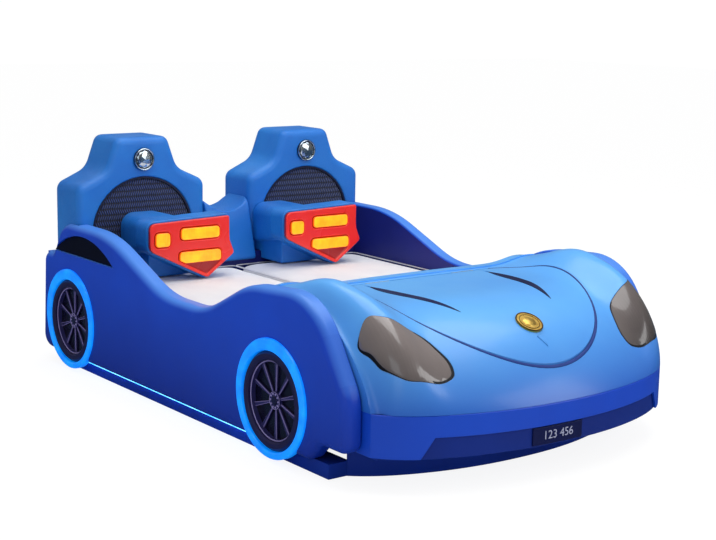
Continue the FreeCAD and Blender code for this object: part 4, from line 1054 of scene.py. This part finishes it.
@dataclass
class Wheels:
    """The lit rings, tyres and spoked trims, with thin pale rings of painted highlight at their rim lips and
    hubs, and the studs round their hubs.
    """

    axles: tuple[float, float] = (-0.613, 1.075)
    height: float = 0.236
    lip_radius: float = 0.1547
    lip_face: float = 0.8253
    hub_face: float = 0.8193
    stud_circle: float = 0.0265
    stud_radius: float = 0.0042
    stud_count: int = 10
    rim_thick: float = 0.0026
    hub_step: float = 0.007
    hub_thick: float = 0.0012

    def build(self) -> None:
        """Dresses the wheels and adds their small parts."""
        dress(CYAN, "wheel_light_rings")
        dress(TYRE, "wheel_tyres")
        dress(TRIM, "wheel_trims")
        dress(CAP, "wheel_hub_caps")
        dress(BOARD_WHITE, "wheel_light_boards")
        dress(UNDERGLOW, "underglow_strips")
        # the pale rings at the rim lip and round the hub are painted highlights
        lines = (("rim", self.lip_radius, self.rim_thick, self.lip_face),
                 ("hub", self.stud_circle + self.hub_step, self.hub_thick, self.hub_face))
        for side in Side:
            outward = Vector((side.value, 0.0, 0.0))
            for place, y in zip(("front", "rear"), self.axles):
                for part, radius, thick, face in lines:
                    middle = (side.value * face, y, self.height)
                    line = ring(f"{part}_line_{place}_{side.word}", radius, thick, middle, outward)
                    finish(line, RIM_HIGHLIGHT, Body.BED)
                self.studs(side, place, y)

    def studs(self, side: Side, place: str, y: float) -> None:
        """Makes the studs round one hub."""
        clear_selection()
        studs = []
        for index in range(self.stud_count):
            turn = math.tau * index / self.stud_count
            at = (side.value * self.hub_face, y + self.stud_circle * math.cos(turn),
                  self.height + self.stud_circle * math.sin(turn))
            bpy.ops.mesh.primitive_uv_sphere_add(segments=12, ring_count=8, radius=self.stud_radius,
                                                 location=at)
            studs.append(bpy.context.object)
        for stud in studs:
            stud.select_set(True)
        bpy.context.view_layer.objects.active = studs[0]
        bpy.ops.object.join()
        piece = made(f"hub_studs_{place}_{side.word}")
        settle(piece, 60)
        # the studs are real parts, in the pale colour of the painted highlight
        finish(piece, RIM_HIGHLIGHT, Body.BED)


@dataclass
class Headlamps:
    """The smoked headlamps and their gaskets."""

    spread: float = 1.045
    lift: float = 0.0015

    def build(self) -> None:
        """Dresses the headlamps and lays the lenses over the inner edge of their gaskets."""
        piece = copy_of("headlamp_lenses", "headlamp_covers")
        for side in Side:
            own = [v for v in piece.data.vertices if v.co.x * side.value > 0]
            low = Vector([min(v.co[axis] for v in own) for axis in range(3)])
            high = Vector([max(v.co[axis] for v in own) for axis in range(3)])
            middle = (low + high) / 2
            for vertex in own:
                vertex.co = middle + (vertex.co - middle) * self.spread
                vertex.co.z += self.lift
        settle(piece, 40)
        finish(piece, LENS, Body.BED, ["headlamp_lenses"])
        dress(GASKET, "headlamp_bezels")
        dress(REFLECTOR, "headlamp_housings")


@dataclass
class SeatBacks:
    """The padded seat backs with their mesh panels, and the saddle between them."""

    voxel: float = 0.005
    passes: int = 9
    crown: float = 0.010
    centre: float = 0.469
    half: float = 0.261
    badge_face: float = 1.0147
    badge_height: float = 0.985
    badge_radius: float = 0.049
    jewel_share: float = 0.86
    jewel_rise: float = 0.010
    ring_thick: float = 0.0038

    def build(self) -> None:
        """Makes the soft covers and mesh panels, and the faceted discs."""
        for side in Side:
            cushion(f"seat_back_{side.word}", f"seat_cover_{side.word}", self.voxel, self.passes,
                    hollow=True)
            self.disc(side)
        cushion("seat_link", "seat_saddle", self.voxel, self.passes)
        self.mesh_panels()
        dress(PIPING, "seat_mesh_trims")
        dress(BLACK, "seat_badges")

    def disc(self, side: Side) -> None:
        """Makes the faceted face and the ring of one seat's disc."""
        at = (side.value * self.centre, self.badge_face, self.badge_height)
        forward = Vector((0.0, -1.0, 0.0))
        stone = self.badge_radius * self.jewel_share
        piece = jewel(f"seat_jewel_{side.word}", stone, self.jewel_rise, at, forward)
        finish(piece, CHROME, Body.BED)
        piece = ring(f"seat_jewel_ring_{side.word}", self.badge_radius, self.ring_thick, at, forward)
        finish(piece, CHROME, Body.BED)

    def mesh_panels(self) -> None:
        """Makes the crowned mesh panels."""
        low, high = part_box("seat_meshes")
        piece = copy_of("seat_meshes", "seat_mesh_panels")
        soften(piece, self.voxel, 2)
        for vertex in piece.data.vertices:
            across = min(1.0, abs(abs(vertex.co.x) - self.centre) / self.half)
            up = min(1.0, max(0.0, (vertex.co.z - low.z) / (high.z - low.z)))
            swell = (1 - across ** 2) * (1 - up ** 4)
            if vertex.co.y < (low.y + high.y) / 2:
                vertex.co.y -= self.crown * swell
        finish(piece, MESH, Body.BED, ["seat_meshes"])


@dataclass
class LampConsoles:
    """The padded consoles with red fascias and amber lenses."""

    voxel: float = 0.004
    passes: int = 7
    fascia_voxel: float = 0.0028
    lens_voxel: float = 0.0022

    def build(self) -> None:
        """Makes the consoles and fascias and dresses the lenses."""
        for side in Side:
            cushion(f"lamp_console_{side.word}", f"console_cover_{side.word}", self.voxel, self.passes)
            node = f"lamp_fascia_{side.word}"
            piece = copy_of(node, f"red_fascia_{side.word}")
            soften(piece, self.fascia_voxel, 5)
            finish(piece, FASCIA, Body.BED, [node])
        piece = copy_of("lamp_lenses", "amber_lamps")
        soften(piece, self.lens_voxel, 6)
        finish(piece, AMBER, Body.BED, ["lamp_lenses"])


@dataclass
class Mattresses:
    """The two mattresses, blown up a little as cloth, with a piped seam round their top and bottom."""

    voxel: float = 0.014
    shrink: float = 0.007
    cap: float = 0.009
    frames: int = 16
    pressure: float = 4.0
    pipe: float = 0.003
    seam_inset: float = 0.016
    seam_corner: float = 0.030
    seam_sunk: float = 0.004

    def build(self) -> None:
        """Makes both mattresses."""
        for side in Side:
            self.mattress(side)

    def mattress(self, side: Side) -> None:
        """Makes one mattress and its piping."""
        node = f"mattress_{side.word}"
        low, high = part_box(node)
        piece = copy_of(node, f"soft_{node}")
        centre = (low + high) / 2
        for vertex in piece.data.vertices:
            inward = Vector([math.copysign(self.shrink, c) for c in (vertex.co - centre)])
            vertex.co -= inward
        soften(piece, self.voxel, 2)
        self.inflate(piece, low, high)
        smooth = piece.modifiers.new("even", "SMOOTH")
        smooth.iterations = 3
        piece.modifiers.new("fine", "SUBSURF").levels = 1
        apply_all(piece)
        bpy.ops.object.shade_smooth()
        finish(piece, TICKING, Body.BED, [node])
        for name, level in (("top", high.z - self.seam_inset), ("bottom", low.z + self.seam_inset)):
            self.seam(side, name, low, high, level)

    def inflate(self, piece: Piece, low: Vector, high: Vector) -> None:
        """Blows the mattress up as cloth and keeps it inside its place.

        Args:
            piece: the mattress.
            low: its place's lowest corner.
            high: its place's highest corner.
        """
        start = [v.co.copy() for v in piece.data.vertices]
        cloth = piece.modifiers.new("cloth", "CLOTH")
        cloth.settings.use_pressure = True
        cloth.settings.uniform_pressure_force = self.pressure
        cloth.settings.effector_weights.gravity = 0
        cloth.settings.quality = 4
        cloth.point_cache.frame_end = self.frames
        for number in range(1, self.frames + 1):
            bpy.context.scene.frame_set(number)
        choose(piece)
        bpy.ops.object.modifier_apply(modifier="cloth")
        bpy.context.scene.frame_set(1)
        for vertex, first in zip(piece.data.vertices, start):
            step = vertex.co - first
            if step.length > self.cap:
                vertex.co = first + step.normalized() * self.cap
            for axis in range(3):
                vertex.co[axis] = min(high[axis], max(low[axis], vertex.co[axis]))

    def seam(self, side: Side, name: str, low: Vector, high: Vector, level: float) -> None:
        """Makes one piped seam, a thin tube round the mattress."""
        clear_selection()
        middle = (low + high) / 2
        bpy.ops.mesh.primitive_plane_add(size=1.0, location=(middle.x, middle.y, level))
        piece = made(f"mattress_{name}_seam_{side.word}")
        piece.scale = (high.x - low.x - self.seam_sunk, high.y - low.y - self.seam_sunk, 1.0)
        bpy.ops.object.transform_apply(location=True, rotation=True, scale=True)
        with editing(piece):
            bpy.ops.mesh.bevel(offset=self.seam_corner, segments=6, affect="VERTICES")
            bpy.ops.mesh.delete(type="ONLY_FACE")
        bpy.ops.object.convert(target="CURVE")
        piece.data.bevel_depth = self.pipe
        piece.data.bevel_resolution = 3
        bpy.ops.object.convert(target="MESH")
        settle(piece, 60)
        finish(piece, SEAM, Body.BED)


@dataclass
class Trim:
    """The badge, the number plate's digits and the small fittings."""

    digits: str = "123 456"
    tall: float = 0.046
    sunk: float = 0.0055
    relief: float = 0.0007
    badge_radius: float = 0.056
    outline: tuple[float, float] = (0.002, 0.0026)
    inner_line: tuple[float, float] = (0.74, 0.0016)
    dome: tuple[float, float] = (0.5, 0.004)

    def build(self) -> None:
        """Dresses the small parts and makes the digits."""
        dress(GOLD, "bonnet_badge")
        dress(PLATE, "number_plate")
        dress(CHROME, "switch_collar")
        dress(BLACK, "light_button", "power_inlet", "light_controller")
        dress(TUB, "toy_tub")
        dress(STEEL, "hinge_fixed_leaves", "hinge_lid_leaves", "hinge_pins", "slat_screws")
        self.plate_digits()
        self.badge()

    def badge(self) -> None:
        """Makes the dark ring, the bright ring and the dome of the bonnet's disc."""
        middle, axis = disc_frame("bonnet_badge", (0.0, -0.3, 1.0))
        inset, thick = self.outline
        piece = ring("badge_outline", self.badge_radius - inset, thick, middle, axis)
        finish(piece, BRONZE, Body.LID)
        share, thick = self.inner_line
        piece = ring("badge_line", self.badge_radius * share, thick, middle, axis)
        finish(piece, BRONZE, Body.LID)
        share, rise = self.dome
        piece = jewel("badge_dome", self.badge_radius * share, rise, middle, axis)
        finish(piece, GOLD, Body.LID)

    def plate_digits(self) -> None:
        """Makes the plain numbers on the plate, bent to its face."""
        low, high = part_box("number_plate")
        clear_selection()
        bpy.ops.object.text_add(location=(0, 0, 0))
        piece = made("plate_digits")
        piece.data.body = self.digits
        piece.data.align_x = "CENTER"
        piece.data.align_y = "CENTER"
        piece.data.size = self.tall
        piece.data.extrude = self.relief
        bpy.ops.object.convert(target="MESH")
        place = Matrix.Translation(((low.x + high.x) / 2, 0.0, (low.z + high.z) / 2))
        piece.matrix_world = place @ Matrix.Rotation(math.radians(90), 4, "X")
        settle(piece, 30)
        for vertex in piece.data.vertices:
            vertex.co.y += SURFACE.line(vertex.co.x) + self.sunk
        finish(piece, MARKING, Body.BED)


@dataclass
class Deck:
    """The timber under the mattresses."""

    def build(self) -> None:
        """Dresses the boards, rails and slats."""
        dress(PINE, "deck_slats")
        dress(PINE_LONG, "side_rail_left", "side_rail_right", "centre_beam", "centre_legs")
        dress(PLYWOOD, "tail_board")
        dress(LINING, "head_board", "seat_shelf")
        dress(PLINTH, "front_floor")


# ---------------------------------------------------------------- studio
@dataclass(frozen=True)
class Lamp:
    """A soft square lamp: where it hangs and points, its side in metres, its power in watts."""

    name: str
    place: tuple[float, float, float]
    target: tuple[float, float, float]
    size: float
    power: float
    colour: Colour = (1.0, 1.0, 1.0)

    def build(self) -> None:
        """Hangs the lamp."""
        data = bpy.data.lights.new(self.name, "AREA")
        data.size = self.size
        data.energy = self.power
        data.color = self.colour
        lamp = bpy.data.objects.new(self.name, data)
        bpy.context.scene.collection.objects.link(lamp)
        lamp.location = self.place
        beam = Vector(self.target) - Vector(self.place)
        lamp.rotation_euler = beam.to_track_quat("-Z", "Y").to_euler()


LAMPS = (
    Lamp("overhead", (0.3, -0.3, 4.2), (0.0, 0.0, 0.3), size=4.0, power=120.0),
    Lamp("front_right", (2.8, -4.6, 2.4), (0.2, -1.0, 0.4), size=2.6, power=60.0),
    Lamp("front_left", (-4.4, -3.6, 2.2), (-0.6, -0.6, 0.4), size=2.4, power=16.0, colour=(0.85, 0.93, 1.0)),
)


@dataclass(frozen=True)
class Studio:
    """A plain pale floor, soft lamps and the camera where the photograph's stood."""

    eye: tuple[float, float, float] = (-3.877, -5.128, 1.745)
    yaw: float = 0.652
    pitch: float = 0.181
    roll: float = 0.019
    lens: float = 74.2
    floor_size: float = 60.0
    floor_drop: float = 0.0005
    floor_colour: Colour = (0.86, 0.86, 0.87)
    floor_lift: tuple[float, float] = (0.78, 1.14)
    mirrored: Colour = (0.35, 0.6, 1.0)
    mirrored_level: float = 0.12
    world_seen: float = 1.02
    world_glossy: float = 0.14
    world_diffuse: float = 0.55

    def build(self) -> None:
        """Sets up the floor, the lamps, the world and the camera."""
        self.floor()
        self.world()
        for lamp in LAMPS:
            lamp.build()
        self.camera()
        bpy.context.scene.view_settings.view_transform = "Standard"

    def camera(self) -> None:
        """Puts the camera at the photograph's place."""
        reach = math.cos(self.pitch)
        forward = Vector((math.sin(self.yaw) * reach, math.cos(self.yaw) * reach, -math.sin(self.pitch)))
        level = Vector((math.cos(self.yaw), -math.sin(self.yaw), 0.0))
        up = level.cross(forward)
        right = level * math.cos(self.roll) + up * math.sin(self.roll)
        top = up * math.cos(self.roll) - level * math.sin(self.roll)
        data = bpy.data.cameras.new("camera")
        data.lens = self.lens
        data.sensor_width = 36.0
        data.clip_end = 200.0
        camera = bpy.data.objects.new("camera", data)
        bpy.context.scene.collection.objects.link(camera)
        turned = Matrix((right, top, -forward)).transposed().to_4x4()
        camera.matrix_world = Matrix.Translation(self.eye) @ turned
        bpy.context.scene.camera = camera

    def world(self) -> None:
        """Lights the scene softly, and shows white to the camera and in reflections."""
        world = bpy.data.worlds.new("studio")
        world.use_nodes = True
        bpy.context.scene.world = world
        w = Wiring(world.node_tree)
        path = w.add("ShaderNodeLightPath")
        seen = w.math("MAXIMUM", path.outputs["Is Camera Ray"], path.outputs["Is Transmission Ray"])
        glossy = w.math("MULTIPLY", path.outputs["Is Glossy Ray"], self.world_glossy)
        level = w.math("MAXIMUM", w.math("MULTIPLY", seen, self.world_seen), glossy)
        diffuse = w.math("MULTIPLY", path.outputs["Is Diffuse Ray"], self.world_diffuse)
        strength = w.math("MAXIMUM", level, diffuse)
        back = world.node_tree.nodes["Background"]
        back.inputs["Color"].default_value = (1.0, 1.0, 1.0, 1.0)
        w.put(back.inputs["Strength"], strength)

    def emission(self, p: Paint, colour: Colour, level: float) -> Socket:
        """Adds an even light of one colour."""
        node = p.add("ShaderNodeEmission", {"Color": (*colour, 1.0), "Strength": level})
        return node.outputs["Emission"]

    def floor(self) -> None:
        """Makes the pale floor, which keeps the bed's shadow."""
        clear_selection()
        bpy.ops.mesh.primitive_plane_add(size=self.floor_size, location=(0, 0, -self.floor_drop))
        floor = made("floor")
        p = Paint("floor_white")
        p.set(Base_Color=self.floor_colour, Roughness=0.9, Specular_IOR_Level=0.0)
        share, level = self.floor_lift
        path = p.add("ShaderNodeLightPath").outputs
        glow = self.emission(p, (1.0, 1.0, 1.0), level)
        dim = self.emission(p, self.mirrored, self.mirrored_level)
        lifted = p.math("MULTIPLY", path["Is Camera Ray"], share)
        mix = p.add("ShaderNodeMixShader", {0: lifted, 1: p.shader.outputs["BSDF"], 2: glow})
        seen = p.add("ShaderNodeMixShader", {0: path["Is Glossy Ray"], 1: mix.outputs["Shader"], 2: dim})
        p.put(p.tree.nodes["Material Output"].inputs["Surface"], seen.outputs["Shader"])
        floor.data.materials.append(p.material)


def main() -> None:
    """Builds the bed's looks in order."""
    logging.basicConfig(level=logging.INFO, format="%(name)s: %(message)s")
    for assembly in (Studio(), Bodywork(), LidDetails(), Wheels(), Headlamps(), SeatBacks(), LampConsoles(),
                     Mattresses(), Trim(), Deck()):
        LOG.info("building %s", type(assembly).__name__)
        assembly.build()
    clear_selection()


if __name__ == "__main__":
    main()
